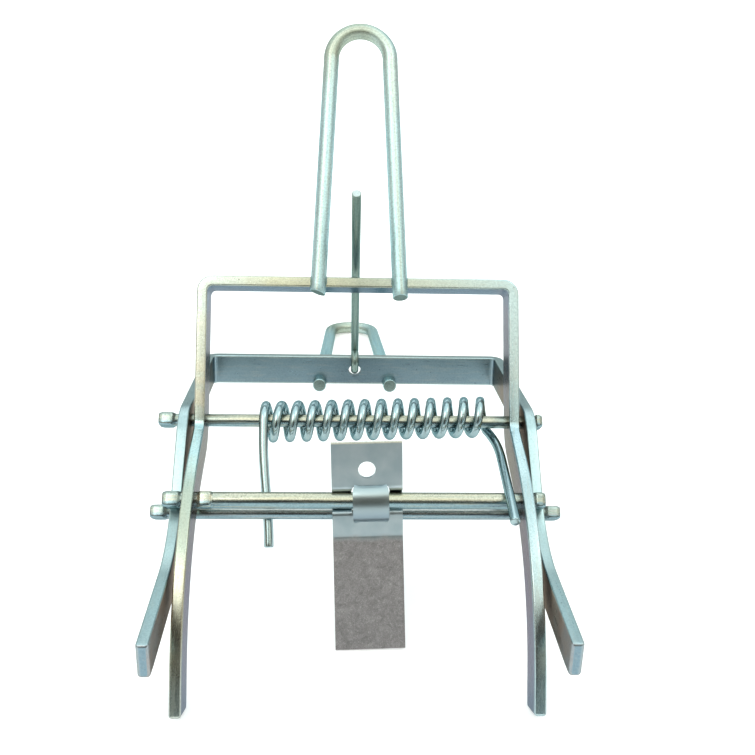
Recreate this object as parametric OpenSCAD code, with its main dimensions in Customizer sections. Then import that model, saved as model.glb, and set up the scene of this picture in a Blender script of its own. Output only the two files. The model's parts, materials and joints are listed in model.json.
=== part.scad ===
// Two-frame claw trap with a torsion spring, drawn sprung and lying on its back.
//
// Each part is drawn in the trap's own frame: the pivot pin lies along X through
// the origin, +Z points from the claws to the handles and +Y to the rear frame.
// place_trap() then lays the trap down on its two front claws and the end of the
// rear handle, with the origin at the bottom centre of the whole trap.

/* [Strip] */
// Width of the steel strip that both frames are bent from
strip_w = 11; // [10:0.5:12]
// Thickness of the strip
strip_t = 4; // [3.6:0.2:4.4]
// Chamfer along the strip's long edges
strip_edge = 0.5; // [0.3:0.1:0.8]
// Mean radius of the two corners of each frame's bar
corner_r = 4; // [3.5:0.5:6]
// Mean radius of the bend across the strip's width at the pivot
kink_r = 12; // [10:0.5:14]
// Cut across the corners of each claw's tip
tip_cut = 1.1; // [0.6:0.1:1.6]

/* [Front frame] */
// Half of the front frame's width over its legs
front_half = 62.8; // [61:0.2:63]
// Distance from the pivot to the outer face of the front bar
front_reach = 56; // [54:0.5:57]
// Lean of the front frame's legs to the front
front_lean = 31.7; // [28:0.5:34]
// Bend of the front legs at the pivot
front_kink = 47.5; // [45:0.5:49]
// Straight run below the bend of the front legs
front_run = 14.5; // [12:0.5:16]
// Turn of the front claws
front_turn = 53; // [48:1:56]
// Radius of the front claws along the middle of the strip
front_turn_r = 84.3; // [78:1:90]
// Straight end of the front claws
front_end = 10.5; // [8:0.5:14]

/* [Rear frame] */
// Half of the rear frame's width over its legs
rear_half = 68.4; // [68.2:0.2:69]
// Distance from the pivot to the outer face of the rear bar
rear_reach = 71.9; // [71:0.5:74]
// Lean of the rear frame's legs to the rear
rear_lean = 36; // [34:0.5:38]
// Bend of the rear legs at the pivot
rear_kink = 48.5; // [47:0.5:50]
// Straight run below the bend of the rear legs
rear_run = 26; // [24:0.5:28]
// Turn of the rear claws
rear_turn = 45; // [42:1:48]
// Radius of the rear claws along the middle of the strip
rear_turn_r = 48; // [40:1:56]
// Straight end of the rear claws
rear_end = 39; // [35:0.5:42]

/* [Handles] */
// Diameter of the handle wire
grip_d = 6; // [5.6:0.1:6.2]
// Distance from a bar's outer face to the middle of the wire at the loop's end
grip_reach = 99.3; // [90:1:105]
// Distance between the middles of a handle's two feet
grip_feet = 31.5; // [30:0.5:33]
// Radius of the loop's end to the middle of the wire
grip_bend_r = 11.7; // [11:0.1:12.5]
// Distance from the middle of the strip to the middle of the handle wire
grip_offset = 5.9; // [5.7:0.1:6.2]
// Stand of the front handle's left foot below the bar
foot_short = 2.6; // [1:0.2:4]
// Stand of the other three feet below their bars
foot_long = 4.6; // [3:0.2:6]
// Chamfer at the end of each foot
foot_cut = 0.8; // [0.3:0.1:1.2]
// Radius of the weld beads beside each foot
bead_r = 1.7; // [1.3:0.1:2]

/* [Pivot pin and rods] */
// Diameter of the pivot pin
pin_d = 4.9; // [4.7:0.1:5]
// Left end of the pivot pin
pin_left = 77; // [76:0.5:78]
// Right end of the pivot pin
pin_right = 72.6; // [72.5:0.5:75]
// Diameter of the front rod
front_rod_d = 6; // [5.8:0.1:6.1]
// Place of the front rod in front of the pivot
front_rod_y = 5.8; // [5.6:0.1:6.2]
// Place of the front rod below the pivot
front_rod_z = 38.5; // [38:0.25:39]
// Diameter of the rear rod
rear_rod_d = 4.9; // [4.7:0.1:5]
// Place of the rear rod behind the pivot
rear_rod_y = 5.1; // [4.9:0.1:5.4]
// Place of the rear rod below the pivot
rear_rod_z = 37.6; // [37:0.25:38]
// Radial clearance of the pins in the frames that turn on them
pin_fit = 0.1; // [0.05:0.01:0.1]

/* [Spring] */
// Diameter of the spring wire
wire_d = 3.5; // [3.3:0.1:3.6]
// Radius of the coil to the middle of the wire
coil_r = 6.45; // [6.3:0.05:6.6]
// Number of turns whose tops show
coil_turns = 14; // [10:1:14]
// Step of the coil along the pin
coil_pitch = 6.4; // [6:0.1:6.5]
// Place of the first turn's top along the pin
coil_start = -35.6; // [-38:0.2:-34]
// Length of the left arm, which presses on the rear rod
left_arm = 48.5; // [45:0.5:52]
// Length of the right arm, which presses on the front rod
right_arm = 57; // [52:0.5:60]

/* [Trigger plate] */
// Width of the trigger plate
plate_w = 25.6; // [24:0.2:26]
// Thickness of the trigger plate
plate_t = 1.3; // [1:0.1:1.3]
// Height of the plate's upper end above the front rod
plate_up = 22.3; // [20:0.1:23]
// Distance from the front rod down to the plate's bend
plate_mid = 14.5; // [13:0.1:16]
// Length of the plate below its bend
plate_low = 40.4; // [36:0.1:40.4]
// Lean of the plate's upper part to the front
plate_lean = 50.3; // [48:0.1:50.3]
// Angle of the plate's bend
plate_bend = 13.5; // [8:0.5:16]
// Skew of the plate on the loose bridge
plate_skew = 1.9; // [0:0.1:2]
// Place of the plate along the front rod
plate_x = 3.1; // [0:0.1:6]
// Height of the plate's hole above the front rod
plate_hole_up = 12; // [11:0.1:13]
// Diameter of the plate's hole
plate_hole_d = 6.3; // [5.5:0.1:6.5]
// Width of the bridge that is pressed out of the plate over the front rod
bridge_w = 13.4; // [12:0.2:14]
// Half of the bridge's height along the plate
bridge_foot = 6.3; // [6:0.1:7]
// Clearance round the front rod inside the bridge
bridge_gap = 0.5; // [0.45:0.05:0.6]

/* [Latch rod] */
// Diameter of the latch wire
latch_d = 3.4; // [3.2:0.1:3.5]
// Radius of the latch's eye to the middle of the wire
eye_r = 4.3; // [4.2:0.1:4.5]
// Turn of wire in the eye
eye_turn = 300; // [280:5:315]
// Length of the latch from its eye to its free end
latch_len = 111.4; // [105:0.5:115]
// Diameter of the hole in the rear bar that holds the eye
latch_hole_d = 5.6; // [5.4:0.1:6]
// Gap between the latch and the path of the front bar below it
latch_gap = 0.3; // [0.2:0.05:0.5]

/* [Hidden] */
$fn = 48;
// Overrun that makes a cut pass right through
over = 1;
// Clearance of a pin or a handle in the frame that it is fixed to
fixed_fit = 0.05;
// Facets of a frame's corner, its bend at the pivot and the turn of its claw
corner_steps = 8;
kink_steps = 8;
turn_steps = 24;
// Length over which a claw's corners are cut towards its tip
tip_fade = 6;

// A point of the trap's YZ plane is [y, z]; an angle of heading is measured from
// straight down towards the rear.
function heading(a) = [sin(a), -cos(a)];
function turned(v, a) = [v[0] * cos(a) + v[1] * sin(a), v[1] * cos(a) - v[0] * sin(a)];
// Centre line of a claw: its end point and heading after a bend and a straight run
function after_bend(p, a, r, turn) = p + r * sign(turn) * ([cos(a), sin(a)] - [cos(a + turn), sin(a + turn)]);
function after_run(p, a, run) = p + run * heading(a);
function claw_end(a, kink, run, r, turn, last) =
    let(p1 = after_bend([0, 0], a, kink_r, kink))
    let(p2 = after_run(p1, a + kink, run))
    let(p3 = after_bend(p2, a + kink, r, turn))
    after_run(p3, a + kink + turn, last);
front_tip = claw_end(front_lean, -front_kink, front_run, front_turn_r, front_turn, front_end);
front_tip_a = front_lean - front_kink + front_turn;
rear_tip = claw_end(-rear_lean, rear_kink, rear_run, rear_turn_r, -rear_turn, rear_end);
rear_tip_a = -rear_lean + rear_kink - rear_turn;

// The trap lies on the back corners of the front tips and on the rear handle's end
front_rest = front_tip + strip_w / 2 * [cos(front_tip_a), sin(front_tip_a)];
grip_far = -(rear_reach + grip_reach) * heading(-rear_lean) + grip_offset * [cos(rear_lean), -sin(rear_lean)];
rest_line = grip_far - front_rest;
lie_angle = atan2(rest_line[1], rest_line[0]);
rest_side = asin(grip_d / 2 / norm(rest_line));
lean_back = lie_angle - rest_side;
function laid(p) = turned(p, lean_back);
pivot_up = -laid(front_rest)[1];
rear_corner = rear_tip + strip_w / 2 * [cos(rear_tip_a), sin(rear_tip_a)];
y_low = laid(rear_corner)[0];
y_high = laid(grip_far)[0] + grip_d / 2;
pivot_y = -(y_low + y_high) / 2;

// Rods and coil in the trap's YZ plane
front_rod_at = [-front_rod_y, -front_rod_z];
rear_rod_at = [rear_rod_y, -rear_rod_z];

// Crimps, each as its two ends along its rod, and their sizes [wide, tall] and turn
pin_crimps = [[-pin_left, 6.5 - pin_left], [pin_right - 3.4, pin_right]];
pin_crimp_size = [6.9, 5.2];
pin_crimp_turn = 20;
front_rod_crimps = [[-70.4, -63.8], [-58, -52.4], [63.4, 67.9]];
front_rod_crimp_size = [7, 5.8];
rear_rod_crimps = [[-76.4, -70], [69.6, 75.6]];
rear_rod_crimp_size = [6.6, 5];
rod_crimp_turn = 33;
// Rounding of a crimp's long corners, and the cut of its two ends, as shares of its size
crimp_round = 1.12;
crimp_point = 0.62;

// Latch: the eye turns about the strip left between the hole and the bar's front edge
eye_side = strip_w / 2 - (strip_w / 2 - latch_hole_d / 2) / 2;
eye_at = -(rear_reach - strip_t / 2) * heading(-rear_lean) - eye_side * [cos(rear_lean), -sin(rear_lean)];
bar_sweep = norm([front_reach, strip_w / 2]);
latch_clear = bar_sweep + latch_gap + latch_d / 2;
latch_dip = atan2(eye_at[1], eye_at[0]) - asin((latch_clear - eye_r) / norm(eye_at));

// Bridge of the trigger plate: its radii round the rod, its inner half height, the angle at
// which its flanks meet its front, and the slits beside it
bridge_inner = front_rod_d / 2 + bridge_gap;
bridge_outer = bridge_inner + plate_t;
bridge_root = bridge_foot - 0.9;
bridge_shoulder = 35;
bridge_side = 0.5;
// Overlap of the plate's flat parts with its bridge and with each other at the bend
bend_lap = 0.2;

// Handle: tilt of its legs, from the feet to where they touch the end bend
grip_bend_up = grip_reach - grip_bend_r;
grip_tilt = atan2(grip_feet / 2, grip_bend_up) - asin(grip_bend_r / norm([grip_feet / 2, grip_bend_up]));
// Distance from a bar's face to the middle of a weld bead's round end
bead_end = 0.15 * strip_t;
grip_rings = 20;
grip_sides = 16;

// Spring: the coil leans on the pin, and each arm is tangent to the coil and the rod it presses
coil_left = [0.3, -0.4];
coil_right = [-1.2, 1.6];
arm_gap = 0.3;
left_reach = rear_rod_at - coil_left;
right_reach = front_rod_at - coil_right;
left_angle = atan2(left_reach[0], -left_reach[1])
    + asin((coil_r + (rear_rod_d + wire_d) / 2 + arm_gap) / norm(left_reach));
right_angle = atan2(right_reach[0], -right_reach[1])
    - asin((coil_r + (front_rod_d + wire_d) / 2 + arm_gap) / norm(right_reach));
first_top = 90;
last_top = first_top + 360 * (coil_turns - 1);
coil_a0 = -left_angle;
coil_a1 = last_top + 90 - right_angle;
rings_turn = 8;
tube_sides = 6;
// Sideways drift of each arm from the coil, and the share of the arm over which it comes
left_drift = 3.2;
left_share = 1;
left_ease = 1;
right_drift = 6;
right_share = 0.25;
right_ease = 3;
arm_steps = 8;
rings = ceil((coil_a1 - coil_a0) / 360 * rings_turn);
end_step = 0.35;
function coil_x(a) =
    let(inside = min(max(a, first_top), last_top))
    coil_start + coil_pitch * ((inside - first_top) + end_step * (a - inside)) / 360;
function coil_axis(a) =
    let(k = min(max((a - first_top) / (last_top - first_top), 0), 1))
    coil_left * (1 - k) + coil_right * k;
function coil_out(a) = [0, -cos(a), sin(a)];
function coil_point(a) = [coil_x(a), coil_axis(a)[0], coil_axis(a)[1]] + coil_r * coil_out(a);
left_top = coil_point(coil_a0);
right_top = coil_point(coil_a1);
// Point of an arm at share t of its length, from its top, its angle, length and drift
function arm_point(top, angle, long, drift, share, ease, t) =
    top + [drift * (1 - pow(1 - min(t / share, 1), ease)), t * long * heading(angle)[0], t * long * heading(angle)[1]];
left_way = [for (i = [arm_steps:-1:1])
    arm_point(left_top, left_angle, left_arm, left_drift, left_share, left_ease, i / arm_steps)];
right_way = [for (i = [1:arm_steps]) let(t = i / arm_steps)
    arm_point(right_top, right_angle, right_arm, right_drift, right_share, right_ease, t * t)];
coil_angles = [for (i = [0:rings]) coil_a0 + (coil_a1 - coil_a0) * i / rings];
spring_path = concat(left_way, [for (a = coil_angles) coil_point(a)], right_way);
spring_out = concat([for (p = left_way) coil_out(coil_a0)], [for (a = coil_angles) coil_out(a)],
                    [for (p = right_way) coil_out(coil_a1)]);

// Least gap of the coil to itself: rings half a turn or more apart along the wire
coil_points = [for (a = coil_angles) coil_point(a)];
gaps = [for (i = [0:rings - rings_turn / 2]) for (j = [i + rings_turn / 2:min(rings, i + 2 * rings_turn)])
    norm(coil_points[i] - coil_points[j]) - wire_d];
echo(least_gap_of_spring = min(gaps));

// Section of the strip as [along its thickness, along its width], with edge chamfers of e
// and of cut on the side that the tip's corners are cut from
function strip_section(e, cut) =
    let(a = strip_t / 2)
    let(b = strip_w / 2)
    [[-a, b - cut], [cut - a, b], [a - cut, b], [a, b - cut], [a, e - b], [a - e, -b], [e - a, -b], [-a, e - b]];

// A ring of the strip: place along X, point of the YZ plane, turn of its flat side round
// the corner (0 on the bar, 90 on a leg), heading of the leg and cut of the tip's corners
function strip_ring(x, p, turn, a, cut = strip_edge) =
    let(flat = [sin(turn), -cos(turn) * heading(a)[0], -cos(turn) * heading(a)[1]])
    let(wide = [0, cos(a), sin(a)])
    [for (c = strip_section(strip_edge, cut)) [x, p[0], p[1]] + c[0] * flat + c[1] * wide];

// Rings of a frame's right half, from the start of its corner to its tip
function half_rings(half, reach, a, kink, run, turn_r, turn, last) =
    let(leg_x = half - strip_t / 2)
    let(corner = -(reach - strip_t / 2 - corner_r) * heading(a))
    let(p1 = after_bend([0, 0], a, kink_r, kink))
    let(p2 = after_run(p1, a + kink, run))
    let(p3 = after_bend(p2, a + kink, turn_r, turn))
    let(tip_a = a + kink + turn)
    concat(
        [for (i = [0:corner_steps]) let(c = 90 * i / corner_steps)
            strip_ring(leg_x - corner_r * (1 - sin(c)), corner - corner_r * cos(c) * heading(a), c, a)],
        [for (i = [0:kink_steps]) let(k = kink * i / kink_steps)
            strip_ring(leg_x, after_bend([0, 0], a, kink_r, k), 90, a + k)],
        [for (i = [0:turn_steps]) let(k = turn * i / turn_steps)
            strip_ring(leg_x, after_bend(p2, a + kink, turn_r, k), 90, a + kink + k)],
        [strip_ring(leg_x, after_run(p3, tip_a, last - tip_fade), 90, tip_a),
         strip_ring(leg_x, after_run(p3, tip_a, last), 90, tip_a, tip_cut)]);

// A frame as one bent strip, from its left tip over its bar to its right tip
module bent_strip(half, reach, a, kink, run, turn_r, turn, last) {
    right = half_rings(half, reach, a, kink, run, turn_r, turn, last);
    n = len(right);
    left = [for (i = [n - 1:-1:0]) [for (p = right[i]) [-p[0], p[1], p[2]]]];
    skin(concat(left, right));
}

// A solid through rings of equally many points, each ring clockwise seen along the way
module skin(rings) {
    n = len(rings);
    m = len(rings[0]);
    sides = [for (i = [0:n - 2]) for (k = [0:m - 1])
        let(a = i * m + k)
        let(b = i * m + (k + 1) % m)
        each [[a, a + m, b], [b, a + m, b + m]]];
    caps = [for (k = [1:m - 2]) each [[0, k, k + 1], [(n - 1) * m, (n - 1) * m + k + 1, (n - 1) * m + k]]];
    polyhedron(points = [for (ring = rings) each ring], faces = concat(sides, caps), convexity = 20);
}

// A cylinder along X through a point of the YZ plane, from x0 to x1
module along_x(d, at, x0, x1) {
    translate([x0, at[0], at[1]]) rotate([0, 90, 0]) cylinder(d = d, h = x1 - x0);
}

module lean_front() { rotate([front_lean, 0, 0]) children(); }
module lean_rear() { rotate([-rear_lean, 0, 0]) children(); }
module place_trap() {
    translate([0, pivot_y, pivot_up]) rotate([-lean_back, 0, 0]) children();
}

// A handle in the plane of its bar, as one bent wire with cut feet.
// left and right are how far the feet stand below the outer face of the bar.
module handle_wire(left, right) {
    bend = [for (i = [0:grip_rings]) let(a = -grip_tilt + (180 + 2 * grip_tilt) * i / grip_rings)
        [grip_bend_r * cos(a), 0, grip_bend_up + grip_bend_r * sin(a)]];
    path = concat([foot_point(1, right), foot_point(1, right - foot_cut)], bend,
                  [foot_point(-1, left - foot_cut), foot_point(-1, left)]);
    n = len(path);
    radii = [for (i = [0:n - 1]) grip_d / 2 - (i == 0 || i == n - 1 ? foot_cut : 0)];
    tube(path, [for (p = path) [0, 1, 0]], radii, grip_sides);
}
function foot_point(side, below) =
    [side * (grip_feet / 2 + below * sin(grip_tilt)), 0, -below * cos(grip_tilt)];

// The notches that a handle's legs are welded into
module leg_notches() {
    for (side = [-1, 1])
        translate([side * grip_feet / 2, 0, 0]) rotate([0, -side * grip_tilt, 0])
            translate([0, 0, -2 * strip_t]) cylinder(d = grip_d + 2 * fixed_fit, h = 3 * strip_t);
}

// Weld beads in the corners between a handle's legs and the edge of its bar
module weld_beads(edge_side) {
    for (leg = [-1, 1])
        for (side = [-1, 1])
            translate([leg * grip_feet / 2 + side * (grip_d / 2 + bead_r / 3), edge_side * strip_w / 2, 0]) {
                translate([0, 0, bead_end - strip_t]) cylinder(r = bead_r, h = strip_t - 2 * bead_end);
                translate([0, 0, bead_end - strip_t]) sphere(r = bead_r);
                translate([0, 0, -bead_end]) sphere(r = bead_r);
            }
}

// The straight middle of a frame's bar
module bar_block(reach) {
    translate([0, 0, reach - strip_t / 2]) cube([2 * grip_feet, strip_w, strip_t], center = true);
}

module front_grip_at() { lean_front() translate([0, -grip_offset, front_reach]) children(); }
module rear_grip_at() { lean_rear() translate([0, grip_offset, rear_reach]) children(); }

module front_shape() {
    bent_strip(front_half, front_reach, front_lean, -front_kink, front_run, front_turn_r, front_turn, front_end);
}
module rear_shape() {
    bent_strip(rear_half, rear_reach, -rear_lean, rear_kink, rear_run, rear_turn_r, -rear_turn, rear_end);
}

module front_frame() {
    color("lightsteelblue") place_trap() difference() {
        front_shape();
        front_grip_at() leg_notches();
        along_x(pin_d + 2 * pin_fit, [0, 0], -front_half - over, front_half + over);
        along_x(front_rod_d + 2 * fixed_fit, front_rod_at, -front_half - over, front_half + over);
    }
}

module rear_frame() {
    color("lightslategray") place_trap() difference() {
        rear_shape();
        rear_grip_at() leg_notches();
        along_x(pin_d + 2 * fixed_fit, [0, 0], -rear_half - over, rear_half + over);
        along_x(rear_rod_d + 2 * fixed_fit, rear_rod_at, -rear_half - over, rear_half + over);
        lean_rear() translate([0, 0, rear_reach - strip_t - over]) cylinder(d = latch_hole_d, h = strip_t + 2 * over);
    }
}

module front_handle() {
    color("lightblue") place_trap() front_grip_at() handle_wire(foot_short + strip_t, foot_long + strip_t);
}

module rear_handle() {
    color("lightblue") place_trap() rear_grip_at() handle_wire(foot_long + strip_t, foot_long + strip_t);
}

module front_welds() {
    color("slategray") place_trap() difference() {
        lean_front() translate([0, 0, front_reach]) weld_beads(-1);
        lean_front() bar_block(front_reach);
        front_grip_at() leg_notches();
    }
}

module rear_welds() {
    color("slategray") place_trap() difference() {
        lean_rear() translate([0, 0, rear_reach]) weld_beads(1);
        lean_rear() bar_block(rear_reach);
        rear_grip_at() leg_notches();
    }
}

// A crimp: a short length of a rod pressed flat on four sides, wider than the rod.
// reach is its two ends along the rod, size is [wide, tall].
module crimp(reach, size, turn) {
    long = reach[1] - reach[0];
    ends = (long + size[0]) * crimp_point;
    translate([reach[0], 0, 0]) rotate([turn, 0, 0]) intersection() {
        rotate([0, 90, 0]) cylinder(d = size[0] * crimp_round, h = long);
        translate([0, -size[0] / 2, -size[1] / 2]) cube([long, size[0], size[1]]);
        translate([long / 2, 0, 0]) rotate([0, 0, 45]) cube([ends, ends, size[1] * 2], center = true);
    }
}

// A rod along X from its first crimp to its last one
module crimped_rod(d, crimps, size, turn) {
    along_x(d, [0, 0], crimps[0][0] + over, crimps[len(crimps) - 1][1] - over);
    for (c = crimps)
        crimp(c, size, turn);
}

module pivot_pin() {
    color("silver") place_trap() crimped_rod(pin_d, pin_crimps, pin_crimp_size, pin_crimp_turn);
}

module front_rod() {
    color("silver") place_trap() translate([0, front_rod_at[0], front_rod_at[1]])
        crimped_rod(front_rod_d, front_rod_crimps, front_rod_crimp_size, rod_crimp_turn);
}

module rear_rod() {
    color("silver") place_trap() translate([0, rear_rod_at[0], rear_rod_at[1]])
        crimped_rod(rear_rod_d, rear_rod_crimps, rear_rod_crimp_size, rod_crimp_turn);
}

// Tube of m sides through the points, with each ring's first corner turned to its outward direction
module tube(points, outs, radii, m) {
    n = len(points);
    tangents = [for (i = [0:n - 1]) unit(points[min(i + 1, n - 1)] - points[max(i - 1, 0)])];
    skin([for (i = [0:n - 1])
        let(t = tangents[i])
        let(u = unit(outs[i] - (outs[i] * t) * t))
        let(v = cross(t, u))
        [for (k = [0:m - 1]) points[i] + radii[i] * (cos(360 * k / m) * u + sin(360 * k / m) * v)]]);
}
function unit(v) = v / norm(v);

module spring() {
    color("lightcyan") place_trap() tube(spring_path, spring_out, [for (p = spring_path) wire_d / 2], tube_sides);
}

// Half of a ring round the front rod, filled to an outline that reaches far up and down
module bridge_hump(r, far) {
    shoulder = r * [cos(bridge_shoulder), sin(bridge_shoulder)];
    intersection() {
        circle(r = r);
        translate([0, -r]) square([r, 2 * r]);
    }
    polygon([[-plate_t / 2, -far], [-plate_t / 2, far], [plate_t / 2, far], shoulder,
             [shoulder[0], -shoulder[1]], [plate_t / 2, -far]]);
}

// Side profile of the bridge, in [towards the front, up the plate]
module bridge_profile() {
    difference() {
        bridge_hump(bridge_outer, bridge_foot);
        intersection() {
            bridge_hump(bridge_inner, bridge_root);
            translate([-plate_t / 2 - over, -bridge_root]) square([bridge_outer + 2 * over, 2 * bridge_root]);
        }
        translate([-plate_t / 2 - over, -bridge_root]) square([over + plate_t / 2, 2 * bridge_root]);
    }
}

// Side profile of the channels beside the bridge, which hold the rod from the rear
module channel_profile() {
    difference() {
        union() {
            circle(r = bridge_outer);
            translate([-plate_t / 2, -bridge_foot]) square([plate_t, 2 * bridge_foot]);
        }
        circle(r = bridge_inner);
        translate([0, -bridge_inner]) square([bridge_outer + over, 2 * bridge_inner]);
        translate([plate_t / 2, -bridge_outer - over]) square([bridge_outer, 2 * (bridge_outer + over)]);
    }
}

// A profile across the plate, drawn between two places along the rod
module across(x0, x1) {
    translate([x0, 0, 0]) rotate([90, 0, 90]) linear_extrude(x1 - x0) mirror([1, 0]) children();
}

// The plate's plane holds the front rod, with its upper part leaning to the front
module trigger_plate() {
    channel_from = bridge_w / 2 + bridge_side;
    color("gray") place_trap() translate([plate_x, front_rod_at[0], front_rod_at[1]])
        rotate([plate_lean, 0, 0]) rotate([0, -plate_skew, 0]) {
            difference() {
                translate([-plate_w / 2, -plate_t / 2, bridge_foot - bend_lap])
                    cube([plate_w, plate_t, plate_up - bridge_foot + bend_lap]);
                translate([0, -over, plate_hole_up]) rotate([-90, 0, 0]) cylinder(d = plate_hole_d, h = 2 * over);
            }
            across(-bridge_w / 2, bridge_w / 2) bridge_profile();
            across(-plate_w / 2, -channel_from) channel_profile();
            across(channel_from, plate_w / 2) channel_profile();
            translate([-plate_w / 2, -plate_t / 2, -plate_mid])
                cube([plate_w, plate_t, plate_mid - bridge_foot + bend_lap]);
            translate([0, plate_t / 2, -plate_mid]) rotate([-plate_bend, 0, 0])
                translate([-plate_w / 2, -plate_t, -plate_low]) cube([plate_w, plate_t, plate_low + bend_lap]);
        }
}

// The latch is a straight wire whose eye is closed round the front margin of the rear bar
module latch_rod() {
    color("darkgray") place_trap() translate([0, eye_at[0], eye_at[1]]) rotate([latch_dip, 0, 0]) {
        rotate([0, -90, 0]) rotate_extrude(angle = eye_turn) translate([eye_r, 0]) circle(d = latch_d);
        translate([0, 0, eye_r]) rotate([90, 0, 0]) cylinder(d = latch_d, h = latch_len);
    }
}

front_frame();
rear_frame();
front_handle();
rear_handle();
front_welds();
rear_welds();
pivot_pin();
front_rod();
rear_rod();
spring();
trigger_plate();
latch_rod();
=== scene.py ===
"""Looks of a sprung two-frame claw trap.

The trap is bent from zinc plated steel: two strip frames with claws that cross on a
pivot pin, a wire loop welded to each frame, two crimped rods, a torsion spring, a
trigger plate pressed over the front rod and a latch wire hooked into the rear frame.
Sizes are in millimetres in the trap's own frame, where the pivot pin lies along X
through the origin, +Y points to the rear frame and +Z to the handles.
"""
import json
import logging
import math
from collections.abc import Callable, Sequence
from dataclasses import dataclass, field
from enum import Enum

import bmesh
import bpy
from mathutils import Matrix, Vector


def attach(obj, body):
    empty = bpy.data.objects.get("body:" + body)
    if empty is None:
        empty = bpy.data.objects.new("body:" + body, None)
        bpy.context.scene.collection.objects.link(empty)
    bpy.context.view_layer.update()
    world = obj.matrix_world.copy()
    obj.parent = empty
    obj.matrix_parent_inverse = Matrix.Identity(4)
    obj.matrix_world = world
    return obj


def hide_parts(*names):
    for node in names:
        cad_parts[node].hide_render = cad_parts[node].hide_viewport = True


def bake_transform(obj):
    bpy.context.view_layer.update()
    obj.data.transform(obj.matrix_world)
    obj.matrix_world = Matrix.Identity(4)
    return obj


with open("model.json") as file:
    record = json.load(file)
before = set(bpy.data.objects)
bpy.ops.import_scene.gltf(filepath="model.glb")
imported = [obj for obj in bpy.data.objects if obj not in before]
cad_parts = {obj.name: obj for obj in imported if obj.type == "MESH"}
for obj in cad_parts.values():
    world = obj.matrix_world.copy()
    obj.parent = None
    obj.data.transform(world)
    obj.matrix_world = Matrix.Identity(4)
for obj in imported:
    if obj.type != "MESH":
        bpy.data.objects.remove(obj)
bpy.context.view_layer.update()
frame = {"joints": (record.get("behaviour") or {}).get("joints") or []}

MM = 0.001
# Attribute with each vertex's (along, first, second) on its piece, in millimetres
GRAIN = "grain"
# Marks of cut ends in that attribute: a strip's lies at its last zone, a wire's before its start
STRIP_END = 300.0
WIRE_END = -2.0
# Distance that counts as touching, in millimetres
CLOSE = 1e-3
X = Vector((1, 0, 0))
log = logging.getLogger("trap")

Outline = list[tuple[float, float]]
Finishes = dict[str, bpy.types.Material]


# ---------------------------------------------------------------- geometry helpers


def heading(degrees: float) -> Vector:
    """Direction in the trap's YZ plane, measured from straight down towards the rear."""
    a = math.radians(degrees)
    return Vector((0, math.sin(a), -math.cos(a)))


def side_of(degrees: float) -> Vector:
    """Direction across a strip that runs along heading(degrees), towards the rear."""
    a = math.radians(degrees)
    return Vector((0, math.cos(a), math.sin(a)))


def eased(t: float) -> float:
    """Smooth step from 0 to 1 while t goes from 0 to 1."""
    t = min(max(t, 0.0), 1.0)
    return t * t * (3 - 2 * t)


@dataclass(frozen=True)
class Placement:
    """How the trap lies: its pivot in the row frame, and its lean onto its back.

    Args:
        pivot: the pivot's centre in the row frame, in metres.
        lean_back: the turn about X that lays the trap down, in degrees.
    """

    pivot: Vector
    lean_back: float = 69.9874

    def matrix(self) -> Matrix:
        """Transform from trap millimetres to row metres."""
        lean = Matrix.Rotation(-math.radians(self.lean_back), 4, "X")
        return Matrix.Translation(self.pivot) @ lean @ Matrix.Scale(MM, 4)


JAW = next(j for j in frame["joints"] if j["name"] == "jaw_open")
LIES = Placement(Vector(JAW["pos_m"]))


@dataclass(frozen=True)
class Station:
    """A cross-section's place along a swept piece.

    Args:
        centre: middle of the section.
        first: direction of the outline's first coordinate.
        second: direction of the outline's second coordinate.
        along: distance along the piece, for its surface pattern.
    """

    centre: Vector
    first: Vector
    second: Vector
    along: float


def superellipse(a: float, b: float, power: float, count: int, turn: float = 0.0) -> Outline:
    """Outline between an ellipse and a rectangle.

    Args:
        a: half size along the first direction.
        b: half size along the second direction.
        power: 2 for an ellipse, higher for squarer corners.
        count: number of points.
        turn: turn of the shape, in degrees.
    Returns:
        The outline's points.
    """
    points = []
    s = math.radians(turn)
    for i in range(count):
        t = 2 * math.pi * i / count
        r = (abs(math.cos(t) / a) ** power + abs(math.sin(t) / b) ** power) ** (-1 / power)
        points.append((r * math.cos(t + s), r * math.sin(t + s)))
    return points


def circle(diameter: float, count: int) -> Outline:
    """Outline of a round wire or hole."""
    return superellipse(diameter / 2, diameter / 2, 2, count)


def rounded_rectangle(a: float, b: float, radii: Sequence[float], steps: int = 3) -> Outline:
    """Rectangle with a rounding of its own at each corner.

    Args:
        a: half size along the first direction.
        b: half size along the second direction.
        radii: radius at the corners (+,+), (-,+), (-,-) and (+,-).
        steps: facets of each rounding.
    Returns:
        The outline's points, anticlockwise.
    """
    points = []
    signs = ((1, 1), (-1, 1), (-1, -1), (1, -1))
    for quarter, ((sa, sb), r) in enumerate(zip(signs, radii, strict=True)):
        for i in range(steps + 1):
            t = math.pi / 2 * (quarter + i / steps)
            points.append((sa * (a - r) + r * math.cos(t), sb * (b - r) + r * math.sin(t)))
    return points


def inset(outline: Outline, by: float) -> Outline:
    """The outline drawn in towards its middle by about that much on each side.

    Args:
        outline: the outline.
        by: how far.
    Returns:
        The smaller outline.
    """
    wide = max(abs(u) for u, _ in outline)
    tall = max(abs(v) for _, v in outline)
    return [(u * (wide - by) / wide, v * (tall - by) / tall) for u, v in outline]


def put_in_scene(name: str, data: bpy.types.ID) -> bpy.types.Object:
    """A new object of the scene with this data.

    Args:
        name: its name.
        data: its mesh, light or camera.
    Returns:
        The object.
    """
    obj = bpy.data.objects.new(name, data)
    bpy.context.scene.collection.objects.link(obj)
    return obj


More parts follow.
